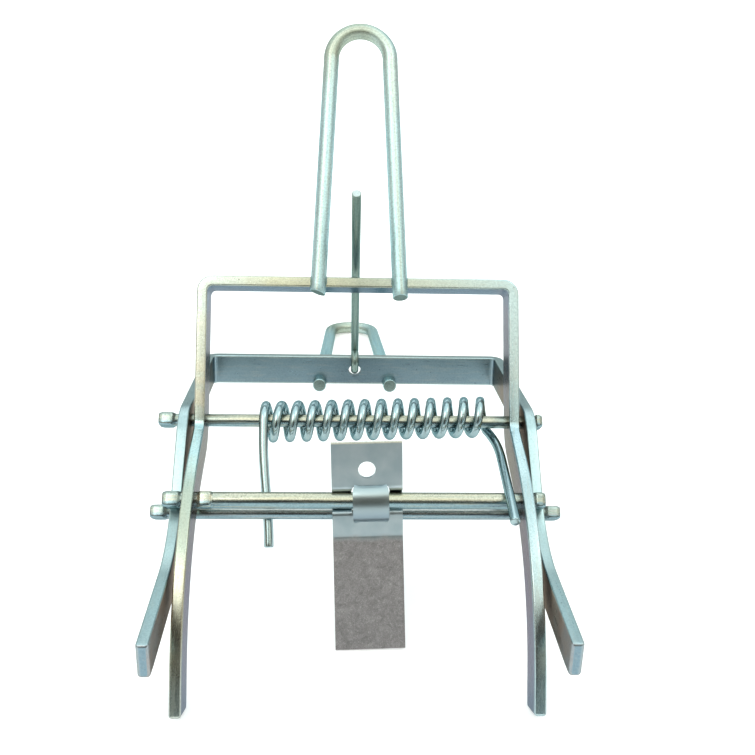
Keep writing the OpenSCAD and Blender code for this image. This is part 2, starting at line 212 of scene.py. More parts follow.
def mesh_object(name: str, bm: bmesh.types.BMesh) -> bpy.types.Object:
    """A new object from an edited mesh, which is freed.

    Args:
        name: its name.
        bm: the edited mesh.
    Returns:
        The object.
    """
    mesh = bpy.data.meshes.new(name)
    bm.to_mesh(mesh)
    bm.free()
    return put_in_scene(name, mesh)


def marks(obj: bpy.types.Object) -> list[tuple[bpy.types.MeshVertex, bpy.types.FloatVectorAttributeValue]]:
    """Each vertex of a piece with its pattern coordinates."""
    return list(zip(obj.data.vertices, obj.data.attributes[GRAIN].data, strict=True))


def applied(obj: bpy.types.Object) -> bpy.types.Mesh:
    """Gives the object the mesh that its modifiers make, and takes the modifiers off.

    Args:
        obj: the object.
    Returns:
        Its new mesh.
    """
    graph = bpy.context.evaluated_depsgraph_get()
    obj.data = bpy.data.meshes.new_from_object(obj.evaluated_get(graph))
    obj.modifiers.clear()
    return obj.data


def tidy_shade(mesh: bpy.types.Mesh, angle: float = 40.0) -> None:
    """Smooth shading, with edges sharper than the angle in degrees kept sharp.

    Args:
        mesh: the mesh.
        angle: the angle.
    """
    for polygon in mesh.polygons:
        polygon.use_smooth = True
    mesh.set_sharp_from_angle(angle=math.radians(angle))


def skin(
    name: str, stations: Sequence[Station], outlines: Sequence[Outline], placement: Placement = LIES
) -> bpy.types.Object:
    """A closed piece through cross-sections, with its pattern coordinates in an attribute.

    Args:
        name: the piece's name.
        stations: where each section stands.
        outlines: each section's outline, all with equally many points.
        placement: how the trap lies.
    Returns:
        The new object. Its attribute holds (along, first, second) in millimetres.
    """
    bm = bmesh.new()
    layer = bm.verts.layers.float_vector.new(GRAIN)
    to_row = placement.matrix()
    rings = []
    for station, outline in zip(stations, outlines, strict=True):
        ring = []
        for u, v in outline:
            vert = bm.verts.new(to_row @ (station.centre + u * station.first + v * station.second))
            vert[layer] = Vector((station.along, u, v))
            ring.append(vert)
        rings.append(ring)
    for one, two in zip(rings, rings[1:]):
        for i in range(len(one)):
            j = (i + 1) % len(one)
            bm.faces.new((one[i], one[j], two[j], two[i]))
    bm.faces.new(list(reversed(rings[0])))
    bm.faces.new(rings[-1])
    bmesh.ops.recalc_face_normals(bm, faces=bm.faces)
    obj = mesh_object(name, bm)
    tidy_shade(obj.data)
    return obj


def flat_normals(obj: bpy.types.Object) -> None:
    """Keeps wide flats flat where they meet a rounding.

    Args:
        obj: the piece.
    """
    modifier = obj.modifiers.new("flats", "WEIGHTED_NORMAL")
    modifier.keep_sharp = True
    modifier.weight = 80


def wire_stations(points: Sequence[Vector], side: Vector, carried: bool = False) -> list[Station]:
    """Stations square to a path.

    Args:
        points: the path.
        side: a direction that the section's first coordinate keeps to.
        carried: whether that direction is carried along instead, so that the wire doesn't twist.
    Returns:
        One station for each point.
    """
    stations = []
    along = 0.0
    for i, p in enumerate(points):
        if i:
            along += (p - points[i - 1]).length
        tangent = (points[min(i + 1, len(points) - 1)] - points[max(i - 1, 0)]).normalized()
        first = (side - side.dot(tangent) * tangent).normalized()
        stations.append(Station(p, first, tangent.cross(first), along))
        side = first if carried else side
    return stations


def round_ends(
    stations: list[Station], outlines: list[Outline], radius: float, steps: int = 3
) -> tuple[list[Station], list[Outline]]:
    """Rounds the rims of both ends of a swept piece.

    Args:
        stations: the sections' places, at least the radius apart at the ends.
        outlines: the sections' outlines.
        radius: the rims' rounding.
        steps: facets of the rounding.
    Returns:
        The new stations and outlines.
    """

    def rim(end: Station, toward: Station, outline: Outline) -> list[tuple[Station, Outline]]:
        """Sections from the end's face to where the rounding stops.

        Args:
            end: the end's section.
            toward: the section beside it.
            outline: the end's outline.
        Returns:
            Each section's place and outline.
        """
        way = (toward.centre - end.centre).normalized()
        sign = 1 if toward.along > end.along else -1
        made = []
        for i in range(steps + 1):
            t = math.pi / 2 * i / steps
            deep = radius * (1 - math.sin(t))
            back = radius * (1 - math.cos(t))
            place = Station(end.centre + back * way, end.first, end.second, end.along + sign * back)
            made.append((place, inset(outline, deep)))
        return made

    first = rim(stations[0], stations[1], outlines[0])
    last = rim(stations[-1], stations[-2], outlines[-1])[::-1]
    middle = list(zip(stations[1:-1], outlines[1:-1], strict=True))
    both = first + middle + last
    return [s for s, _ in both], [o for _, o in both]


def finish_piece(
    obj: bpy.types.Object, material: bpy.types.Material, nodes: Sequence[str], body: str | None
) -> None:
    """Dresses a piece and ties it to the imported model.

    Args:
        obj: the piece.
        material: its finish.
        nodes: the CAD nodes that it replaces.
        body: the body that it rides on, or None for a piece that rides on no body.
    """
    obj.data.materials.clear()
    obj.data.materials.append(material)
    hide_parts(*nodes)
    if body:
        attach(obj, body)
    log.info("%s: %d faces, %s", obj.name, len(obj.data.polygons), material.name)


def cut_out(obj: bpy.types.Object, cutter: bpy.types.Object) -> None:
    """Takes one closed mesh out of another and deletes it.

    Args:
        obj: the piece that is cut.
        cutter: the mesh that is taken out.
    """
    modifier = obj.modifiers.new("cut", "BOOLEAN")
    modifier.operation = "DIFFERENCE"
    modifier.solver = "EXACT"
    modifier.object = cutter
    mesh = applied(obj)
    mesh.name = obj.name
    bpy.data.objects.remove(cutter)
    tidy_shade(mesh)


# ---------------------------------------------------------------- finishes


def colour(hex_code: str) -> tuple[float, float, float, float]:
    """An sRGB hex colour as linear RGBA.

    Args:
        hex_code: the colour, such as #A0B0C0.
    Returns:
        Red, green, blue and alpha.
    """
    parts = [int(hex_code[i : i + 2], 16) / 255 for i in (1, 3, 5)]
    linear = [c / 12.92 if c <= 0.04045 else ((c + 0.055) / 1.055) ** 2.4 for c in parts]
    return (*linear, 1.0)


def add(tree: bpy.types.NodeTree, kind: str, inputs: dict[str | int, object], **settings: object) -> bpy.types.Node:
    """Adds a node with its settings, its constant inputs and its links.

    Args:
        tree: the node tree.
        kind: the node's type name, without its leading ShaderNode.
        inputs: by socket name or number, a value, or the socket it is linked from; a node
            stands for its first output.
        settings: properties of the node.
    Returns:
        The node.
    """
    node = tree.nodes.new("ShaderNode" + kind)
    for key, value in settings.items():
        setattr(node, key, value)
    for key, value in inputs.items():
        if isinstance(value, bpy.types.Node):
            value = value.outputs[0]
        if isinstance(value, bpy.types.NodeSocket):
            tree.links.new(value, node.inputs[key])
        else:
            node.inputs[key].default_value = value
    return node


def ramp(node: bpy.types.Node, stops: Sequence[tuple[float, str]]) -> bpy.types.NodeSocket:
    """Sets a colour ramp's stops and gives its colour output.

    Args:
        node: the ramp.
        stops: each stop's place and hex colour.
    Returns:
        The colour's socket.
    """
    elements = node.color_ramp.elements
    while len(elements) < len(stops):
        elements.new(1.0)
    for element, (place, hex_code) in zip(elements, stops, strict=True):
        element.position = place
        element.color = colour(hex_code)
    return node.outputs["Color"]


def make_material(name: str, look: Callable[[bpy.types.NodeTree], dict[str, object]]) -> bpy.types.Material:
    """Makes a material.

    Args:
        name: its name.
        look: adds the nodes of its pattern and gives the shader's inputs.
    Returns:
        The new material.
    """
    material = bpy.data.materials.new(name)
    material.use_nodes = True
    tree = material.node_tree
    tree.nodes.clear()
    add(tree, "OutputMaterial", {"Surface": add(tree, "BsdfPrincipled", look(tree))})
    return material


class Grain(Enum):
    """How the steel was made before plating, as the scales of its marks along and across it."""

    DRAWN = (0.04, 1.3)
    ROLLED = (0.10, 0.9)


# Directions across a rod or wire, in the attribute's own axes: towards a rod's top, below which its lower half gets
# painted shade, and towards the side of a wire where its painted highlight and painted reflection lines lie
TOP_SIDE = (0.0, -0.485, 0.8746)
PAINTED_LINE_SIDE = (0.0, 0.992, 0.122)
# Where the wide painted highlight line and the thin painted reflection line start and are full, in millimetres, and
# how much they cover
PAINTED_LINES = ((2.93, 2.96, 0.4), (2.985, 2.996, 0.35))
Zone = tuple[float, str]
Source = bpy.types.Node | bpy.types.NodeSocket


@dataclass(frozen=True)
class ZincPlating:
    """Bright zinc plating with a thin passivation film, on steel.

    The film gives pale blue, straw and lilac tints that change slowly along the steel;
    the steel under it shows its drawn or rolled lines, small pits and a fine
    crystalline speckle.

    Args:
        name: the material's name.
        zones: the film's colours by distance along the piece from its middle, in millimetres; on a strip's flats they
            are darker as painted shade, and on a rod's top the straw is partly painted highlight.
        edge_zones: the same on a strip's narrow sides, or none.
        grain: how the steel was made.
        reach: the furthest distance that the zones cover, in millimetres.
        wander: how far the zones' borders wander, in millimetres.
        streak: colour of the thin drawn streaks, and their strength.
        speckle: size of the plating's speckle, in millimetres.
        speckle_depth: how much the speckle darkens the colour.
        rough: lowest and highest roughness.
        relief: depth of the bump, in millimetres.
        seam: how much the drawn or rolled lines darken the colour.
        underside_shade: grey-blue painted shade on the lower half of a rod, or none.
        rim: the film's colour where it is seen edge on.
        outside: colour of the outer flats, which keeps them free of the darker zones that are painted shade on the
            inner flats, or none.
        cool: colour that the film on the narrow sides turns to towards the right end, or none.
        sheared: colour of a wire's sheared ends, or none.
        painted_lines: colours of a wide straw painted highlight and a thin dark painted reflection along one side of
            the wire, or none.
    """

    name: str
    zones: tuple[Zone, ...]
    edge_zones: tuple[Zone, ...] = ()
    grain: Grain = Grain.DRAWN
    reach: float = 260.0
    wander: float = 30.0
    streak: tuple[str, float] = ("#E9E2C4", 0.35)
    speckle: float = 0.7
    speckle_depth: float = 0.18
    rough: tuple[float, float] = (0.20, 0.34)
    relief: float = 0.03
    seam: float = 0.22
    underside_shade: str = ""
    rim: str = "#A9B9BD"
    outside: str = ""
    cool: str = ""
    sheared: str = ""
    painted_lines: tuple[str, ...] = ()

    def film(self, tree: bpy.types.NodeTree, place: Source, zones: tuple[Zone, ...]) -> bpy.types.NodeSocket:
        """Colour of the film at a place along the piece.

        Args:
            tree: the material's nodes.
            place: the place as a share of the reach.
            zones: the colours by place.
        Returns:
            The colour's socket.
        """
        return ramp(add(tree, "ValToRGB", {"Fac": place}), [(mm / self.reach, tint) for mm, tint in zones])

    def edge_film(self, tree: bpy.types.NodeTree, share: Source, along: Source) -> Source:
        """Colour of the film on the narrow sides, which turns cool towards the right end.

        Args:
            tree: the material's nodes.
            share: the place as a share of the reach.
            along: the signed distance along the piece.
        Returns:
            The colour.
        """
        edge = self.film(tree, share, self.edge_zones)
        if not self.cool:
            return edge
        right = add(tree, "MapRange", {"Value": along, "From Min": -10.0, "From Max": 70.0, "To Max": 0.75})
        mix = {"Factor": right, 6: edge, 7: colour(self.cool)}
        return add(tree, "Mix", mix, data_type="RGBA").outputs[2]

    def layers(
        self, tree: bpy.types.NodeTree, grain: Source, lines: Source, share: Source
    ) -> list[tuple[Source, Source | tuple[float, ...]]]:
        """What lies over the film of the flats, from the lowest layer to the highest.

        Args:
            tree: the material's nodes.
            grain: the place on the piece.
            lines: the drawn or rolled lines.
            share: the place as a share of the reach.
        Returns:
            Each layer's cover, from 0 to 1, and its colour.
        """
        along, first, second = add(tree, "SeparateXYZ", {0: grain}).outputs
        # Each row: value, where its cover starts, where it is full, how much it covers, colour
        rows: list[tuple[Source, float, float, float, str | Source]] = []
        if self.outside:
            rows.append((first, 0.6, 1.4, 0.8, self.outside))
        if self.edge_zones:
            wide = add(tree, "Math", {0: second}, operation="ABSOLUTE")
            rows.append((wide, 5.7, 6.0, 1.0, self.edge_film(tree, share, along)))
        # A rod's lower half gets painted shade
        if self.underside_shade:
            side = add(tree, "VectorMath", {0: grain, 1: TOP_SIDE}, operation="DOT_PRODUCT")
            rows.append((side.outputs["Value"], 0.3, -0.7, 1.0, self.underside_shade))
        rows.append((lines, 0.52, 0.62, self.streak[1], self.streak[0]))
        # A wire's painted highlight line and painted reflection line
        for tint, (low, high, most) in zip(self.painted_lines, PAINTED_LINES):
            side = add(tree, "VectorMath", {0: grain, 1: PAINTED_LINE_SIDE}, operation="DOT_PRODUCT")
            rows.append((side.outputs["Value"], low, high, most, tint))
        if self.sheared:
            rows.append((along, -0.5, -1.5, 1.0, self.sheared))
        covers = []
        for value, low, high, most, tint in rows:
            limits = {"Value": value, "From Min": low, "From Max": high, "To Max": most}
            covers.append((add(tree, "MapRange", limits), colour(tint) if isinstance(tint, str) else tint))
        return covers

    def look(self, tree: bpy.types.NodeTree) -> dict[str, object]:
        """Adds the film, the steel's marks and the plating's speckle.

        Args:
            tree: the material's nodes.
        Returns:
            The shader's inputs.
        """
        grain = add(tree, "Attribute", {}, attribute_name=GRAIN).outputs["Vector"]
        along = add(tree, "SeparateXYZ", {0: grain})
        drift = add(tree, "TexNoise", {"Vector": grain, "Scale": 0.05, "Detail": 3.0, "Roughness": 0.6})
        shift = add(tree, "MapRange", {"Value": drift, "To Min": -self.wander, "To Max": self.wander})
        far = add(tree, "Math", {0: along}, operation="ABSOLUTE")
        place = add(tree, "Math", {0: far, 1: shift}, operation="ADD")
        share = add(tree, "Math", {0: place, 1: self.reach}, operation="DIVIDE")
        long, across = self.grain.value
        stretched = add(tree, "VectorMath", {0: grain, 1: (long, across, across)}, operation="MULTIPLY")
        lines = add(tree, "TexNoise", {"Vector": stretched, "Scale": 1.0, "Detail": 4.0, "Roughness": 0.65})
        tint = self.film(tree, share, self.zones)
        for cover, film in self.layers(tree, grain, lines, share):
            tint = add(tree, "Mix", {"Factor": cover, 6: tint, 7: film}, data_type="RGBA").outputs[2]
        speck = add(tree, "TexNoise", {"Vector": grain, "Scale": 1 / self.speckle, "Detail": 4.0, "Roughness": 0.7})
        pits = add(tree, "TexVoronoi", {"Vector": grain, "Scale": 0.2})
        # Each row: value, where it is darkest, where it stops, what it leaves of the light
        shades = (
            (speck, 0.33, 0.58, 1 - self.speckle_depth),
            (pits.outputs["Distance"], 0.03, 0.07, 0.5),
            (lines, 0.30, 0.46, 1 - self.seam),
        )
        for value, low, high, least in shades:
            shade = add(tree, "MapRange", {"Value": value, "From Min": low, "From Max": high, "To Min": least})
            tint = add(tree, "VectorMath", {0: tint, "Scale": shade}, operation="SCALE")
        smooth, coarse = self.rough
        rough = {"Value": lines, "From Min": 0.3, "From Max": 0.7, "To Min": smooth, "To Max": coarse}
        height = add(tree, "Math", {0: speck, 1: lines}, operation="ADD")
        return {
            "Base Color": tint,
            "Metallic": 1.0,
            "Specular Tint": colour(self.rim),
            "Roughness": add(tree, "MapRange", rough),
            "Normal": add(tree, "Bump", {"Height": height, "Distance": self.relief * MM, "Strength": 0.6}),
        }

    def build(self) -> bpy.types.Material:
        """Makes the material."""
        return make_material(self.name, self.look)


# Hot rolled strip, cut to width and plated: blue-grey flats, darkened as painted shade, that turn to lilac on the
# claws, partly as painted reflection, and straw narrow sides with a blue film where the strip turns at the pivot
FRONT_STRIP_ZINC = ZincPlating(
    "zinc_plated_rolled_strip_straw",
    zones=(
        (0, "#7F99A6"), (52, "#8A9FAB"), (72, "#A3999C"), (125, "#B3A184"),
        (190, "#AB99A0"), (250, "#8DA3AF"), (300, "#8299A5"),
    ),
    edge_zones=(
        (0, "#9DA08E"), (30, "#BBBCA6"), (66, "#BCC7C0"), (100, "#C9C8B6"), (118, "#A6C4C8"),
        (150, "#AFBCB0"), (185, "#BFBDA6"), (250, "#B3BDBE"), (300, "#8299A5"),
    ),
    grain=Grain.ROLLED,
    streak=("#B3B4A2", 0.2),
    rough=(0.20, 0.32),
    seam=0.06,
    reach=300.0,
    rim="#A9B1BA",
    outside="#A3AEB2",
    cool="#B2C9CF",
)
# The same strip with a bluer film on its narrow sides, and tan flats on its claws; its flats too are darkened as
# painted shade
REAR_STRIP_ZINC = ZincPlating(
    "zinc_plated_rolled_strip_blue",
    zones=(
        (0, "#869DA8"), (66, "#8CA2AC"), (90, "#A2998F"), (160, "#B8A08A"),
        (225, "#AF9C90"), (256, "#8AA1AD"), (300, "#829AA6"),
    ),
    edge_zones=(
        (0, "#B4C1BE"), (66, "#A4B8BB"), (130, "#A9BDBF"), (165, "#B3CAC9"),
        (200, "#A6BABA"), (230, "#A2BABC"), (258, "#9FB1B4"), (300, "#829AA6"),
    ),
    grain=Grain.ROLLED,
    streak=("#C0C2B8", 0.15),
    rough=(0.26, 0.38),
    seam=0.06,
    reach=300.0,
    rim="#ACA8A2",
    outside="#A3AFB4",
)
# Drawn wire, bent to a loop: ice-blue film, with a straw painted highlight and a thin brown painted reflection along
# it
WIRE_ZINC = ZincPlating(
    "zinc_plated_drawn_wire",
    zones=((0, "#BCDEE1"), (70, "#C1DFE1"), (100, "#C0D3CE"), (122, "#B0BAAA"), (150, "#C0DCDE"), (240, "#BCDCE0")),
    streak=("#D2D9CB", 0.4),
    speckle_depth=0.3,
    rough=(0.36, 0.5),
    relief=0.05,
    seam=0.2,
    rim="#8B9CA0",
    sheared="#8B9C97",
    # a straw painted highlight line and a thin dark painted reflection line along the wire
    painted_lines=("#DCDCC8", "#98968A"),
)
# Cold drawn round bar: straw film on its upper half, partly painted highlight, over grey-blue painted shade on its
# lower half
ROD_ZINC = ZincPlating(
    "zinc_plated_drawn_bar",
    zones=((0, "#C0BEAA"), (50, "#C3C1AE"), (62, "#9EAAA2"), (78, "#A0ADA5")),
    # grey-blue painted shade on the rod's lower half
    underside_shade="#8CA5AC",
    rough=(0.2, 0.32),
    relief=0.05,
    speckle_depth=0.28,
    streak=("#CDC39C", 0.4),
    seam=0.12,
)
# The same bar with a greyer film
GREY_ROD_ZINC = ZincPlating(
    "zinc_plated_drawn_bar_grey",
    zones=((0, "#B3B5B4"), (50, "#B4B6B3"), (62, "#9EABA4"), (78, "#A2AFA8")),
    # grey-blue painted shade on the rod's lower half
    underside_shade="#8CA3AB",
    rough=(0.2, 0.32),
    relief=0.05,
    speckle_depth=0.25,
    streak=("#C9BFB4", 0.35),
    seam=0.12,
)
# Hardened spring wire, smooth and glossy under the plating
SPRING_ZINC = ZincPlating(
    "zinc_plated_spring_wire",
    zones=((0, "#ABC0C3"), (260, "#A7BDC1")),
    rim="#829A9F",
    speckle_depth=0.1,
    streak=("#B7C2B6", 0.3),
    rough=(0.16, 0.28),
    relief=0.015,
)
# Soft grey wire with a thin coat
LATCH_ZINC = ZincPlating(
    "zinc_plated_latch_wire",
    zones=((0, "#82978E"), (140, "#8A9E97")),
    streak=("#A9AC96", 0.3),
    rough=(0.3, 0.42),
    sheared="#C9D2CF",
)
# Weld metal under the plating, rough and slightly darker
WELD_ZINC = ZincPlating(
    "zinc_plated_weld_metal",
    zones=((0, "#8CA2A4"), (10, "#9AACAC")),
    speckle=0.5,
    speckle_depth=0.35,
    rough=(0.35, 0.5),
    relief=0.08,
)


@dataclass(frozen=True)
class DullZincSheet:
    """Zinc plated sheet steel, pressed from coil.

    Above its bend the sheet is smooth and blue-grey; below it the zinc is matt and
    crystalline, with light grains.

    Args:
        name: the material's name.
        smooth: colours above the bend.
        matt: colours below the bend, the last one for the lightest grains.
        drawn: colours of the bridge, where the zinc is stretched a little smoother, at its top and its foot: painted
            light, lighter at the top as painted highlight and darker towards the foot as painted shade.
        sheared: colour of the sheared top edge.
        turn_at: distance down the plate where one becomes the other, in millimetres.
        grit: size of the matt part's grains, in millimetres.
    """

    name: str = "dull_zinc_plated_sheet"
    smooth: tuple[str, str] = ("#A2B1B6", "#B4BFC2")
    matt: tuple[str, str, str] = ("#8A8687", "#A39F9F", "#D2D2CE")
    drawn: tuple[str, str] = ("#A6B3B4", "#8797A0")
    sheared: str = "#E9E4D2"
    turn_at: float = 36.5
    grit: float = 0.45

    def look(self, tree: bpy.types.NodeTree) -> dict[str, object]:
        """Adds the smooth and the matt zinc, the bridge's painted highlight and shade, and the sheared edge.

        Args:
            tree: the material's nodes.
        Returns:
            The shader's inputs.
        """
        grain = add(tree, "Attribute", {}, attribute_name=GRAIN).outputs["Vector"]
        down, _, out = add(tree, "SeparateXYZ", {0: grain}).outputs
        soft = add(tree, "TexNoise", {"Vector": grain, "Scale": 0.12, "Detail": 3.0})
        grit = add(tree, "TexNoise", {"Vector": grain, "Scale": 1 / self.grit, "Detail": 6.0, "Roughness": 0.75})
        wander = add(tree, "MapRange", {"Value": soft, "To Min": -2.0, "To Max": 2.0})
        place = add(tree, "Math", {0: down, 1: wander}, operation="ADD")
        limits = {"Value": place, "From Min": self.turn_at - 1.5, "From Max": self.turn_at + 1.5}
        mask = add(tree, "MapRange", limits, interpolation_type="SMOOTHSTEP")
        smooth = ramp(add(tree, "ValToRGB", {"Fac": soft}), ((0.35, self.smooth[0]), (0.65, self.smooth[1])))
        grains = ((0.34, self.matt[0]), (0.60, self.matt[1]), (0.72, self.matt[2]))
        matt = ramp(add(tree, "ValToRGB", {"Fac": grit}), grains)
        patches = {"Vector": grain, "Scale": 0.33, "Detail": 5.0, "Roughness": 0.7, "Distortion": 1.2}
        patch = add(tree, "TexNoise", patches)
        worn = {"Value": patch, "From Min": 0.35, "From Max": 0.68, "To Min": 0.82, "To Max": 1.22}
        matt = add(tree, "VectorMath", {0: matt, "Scale": add(tree, "MapRange", worn)}, operation="SCALE")
        raised = add(tree, "MapRange", {"Value": out, "From Min": -1.0, "From Max": -2.4})
        above = add(tree, "Math", {0: 1.0, 1: mask}, operation="SUBTRACT")
        bright = add(tree, "Math", {0: raised, 1: above}, operation="MULTIPLY")
        foot = add(tree, "MapRange", {"Value": down, "From Min": 21.5, "From Max": 27.0})
        # The bridge's painted light: lighter at its top, darker towards its foot
        drawn = ramp(add(tree, "ValToRGB", {"Fac": foot}), ((0.0, self.drawn[0]), (1.0, self.drawn[1])))
        edge = add(tree, "MapRange", {"Value": down, "From Min": 0.5, "From Max": 0.25})
        base = smooth
        for cover, tint in ((mask, matt), (bright, drawn), (edge, colour(self.sheared))):
            base = add(tree, "Mix", {"Factor": cover, 6: base, 7: tint}, data_type="RGBA").outputs[2]
        rough = add(tree, "MapRange", {"Value": mask, "To Min": 0.34, "To Max": 0.62})
        polish = add(tree, "MapRange", {"Value": bright, "To Min": 0.0, "To Max": 0.03})
        relief = add(tree, "MapRange", {"Value": mask, "To Min": 0.05, "To Max": 1.0})
        height = add(tree, "Math", {0: grit, 1: relief}, operation="MULTIPLY")
        return {
            "Base Color": base,
            "Metallic": 1.0,
            "Roughness": add(tree, "Math", {0: rough, 1: polish}, operation="SUBTRACT"),
            "Normal": add(tree, "Bump", {"Height": height, "Distance": 0.12 * MM, "Strength": 0.7}),
        }

    def build(self) -> bpy.types.Material:
        """Makes the material."""
        return make_material(self.name, self.look)


# ---------------------------------------------------------------- frames with their handles


@dataclass
class Strip:
    """The steel strip that both frames are bent from.

    Args:
        wide: width of the strip.
        thick: its thickness.
        rim: rounding of its long edges.
        corner_r: mean radius of the bar's two corners.
        kink_r: mean radius of the bend at the pivot.
        tip_cut: extra rounding of the rear edges at a claw's tip.
        tip_fade: length over which that rounding grows.
        slant_fade: length over which a tip's slant grows.
        end_r: rounding of the ends' rims.
    """

    wide: float = 13.2
    thick: float = 4.0
    rim: float = 0.6
    corner_r: float = 4.0
    kink_r: float = 12.0
    tip_cut: float = 0.5
    tip_fade: float = 6.0
    slant_fade: float = 8.0
    end_r: float = 1.1

    def outline(self, cut: float = 0.0) -> Outline:
        """Section of the strip, with its tip's rear corners cut by that much."""
        rear = self.rim + cut
        return rounded_rectangle(self.thick / 2, self.wide / 2, (rear, rear, self.rim, self.rim))


@dataclass
class Loop:
    """The wire loop that is welded to a frame's bar.

    Args:
        wire: diameter of the wire.
        reach: distance from the bar's outer face to the wire's middle at the round end.
        feet: distance between the middles of the two feet.
        bend_r: radius of the round end to the wire's middle.
        offset: distance from the middle of the strip to the middle of the wire.
        sheared_r: rounding of the feet's rims.
        slant_fade: length over which a foot's slant grows.
        feet_below: how far the left and the right foot stand below the bar's outer face.
        slants: slopes of each foot's end along the section's two directions.
        sides: facets round the wire.
        bend_steps: steps along the round end.
        leg_steps: steps along each leg.
    """

    wire: float = 6.0
    reach: float = 99.3
    feet: float = 31.5
    bend_r: float = 11.7
    offset: float = 5.9
    sheared_r: float = 0.35
    slant_fade: float = 6.0
    feet_below: tuple[float, float] = (8.6, 8.6)
    slants: tuple[tuple[float, float], tuple[float, float]] = ((0.0, 0.0), (0.0, 0.0))
    sides: int = 40
    bend_steps: int = 36
    leg_steps: int = 24


@dataclass
class Bead:
    """A weld bead beside a foot of the loop, partly sunk in the bar's edge.

    Args:
        long: its length.
        radius: its largest radius.
        least: its radius at its ends.
        sunk: how deep its middle lies in the edge.
        under: how far its middle lies under the wire's side.
        ripple: share by which its radius varies.
        waves: angle of that ripple along the bead, in radians.
    """

    long: float = 3.6
    radius: float = 0.4
    least: float = 0.05
    sunk: float = 0.2
    under: float = 0.1
    ripple: float = 0.07
    waves: float = 26.0


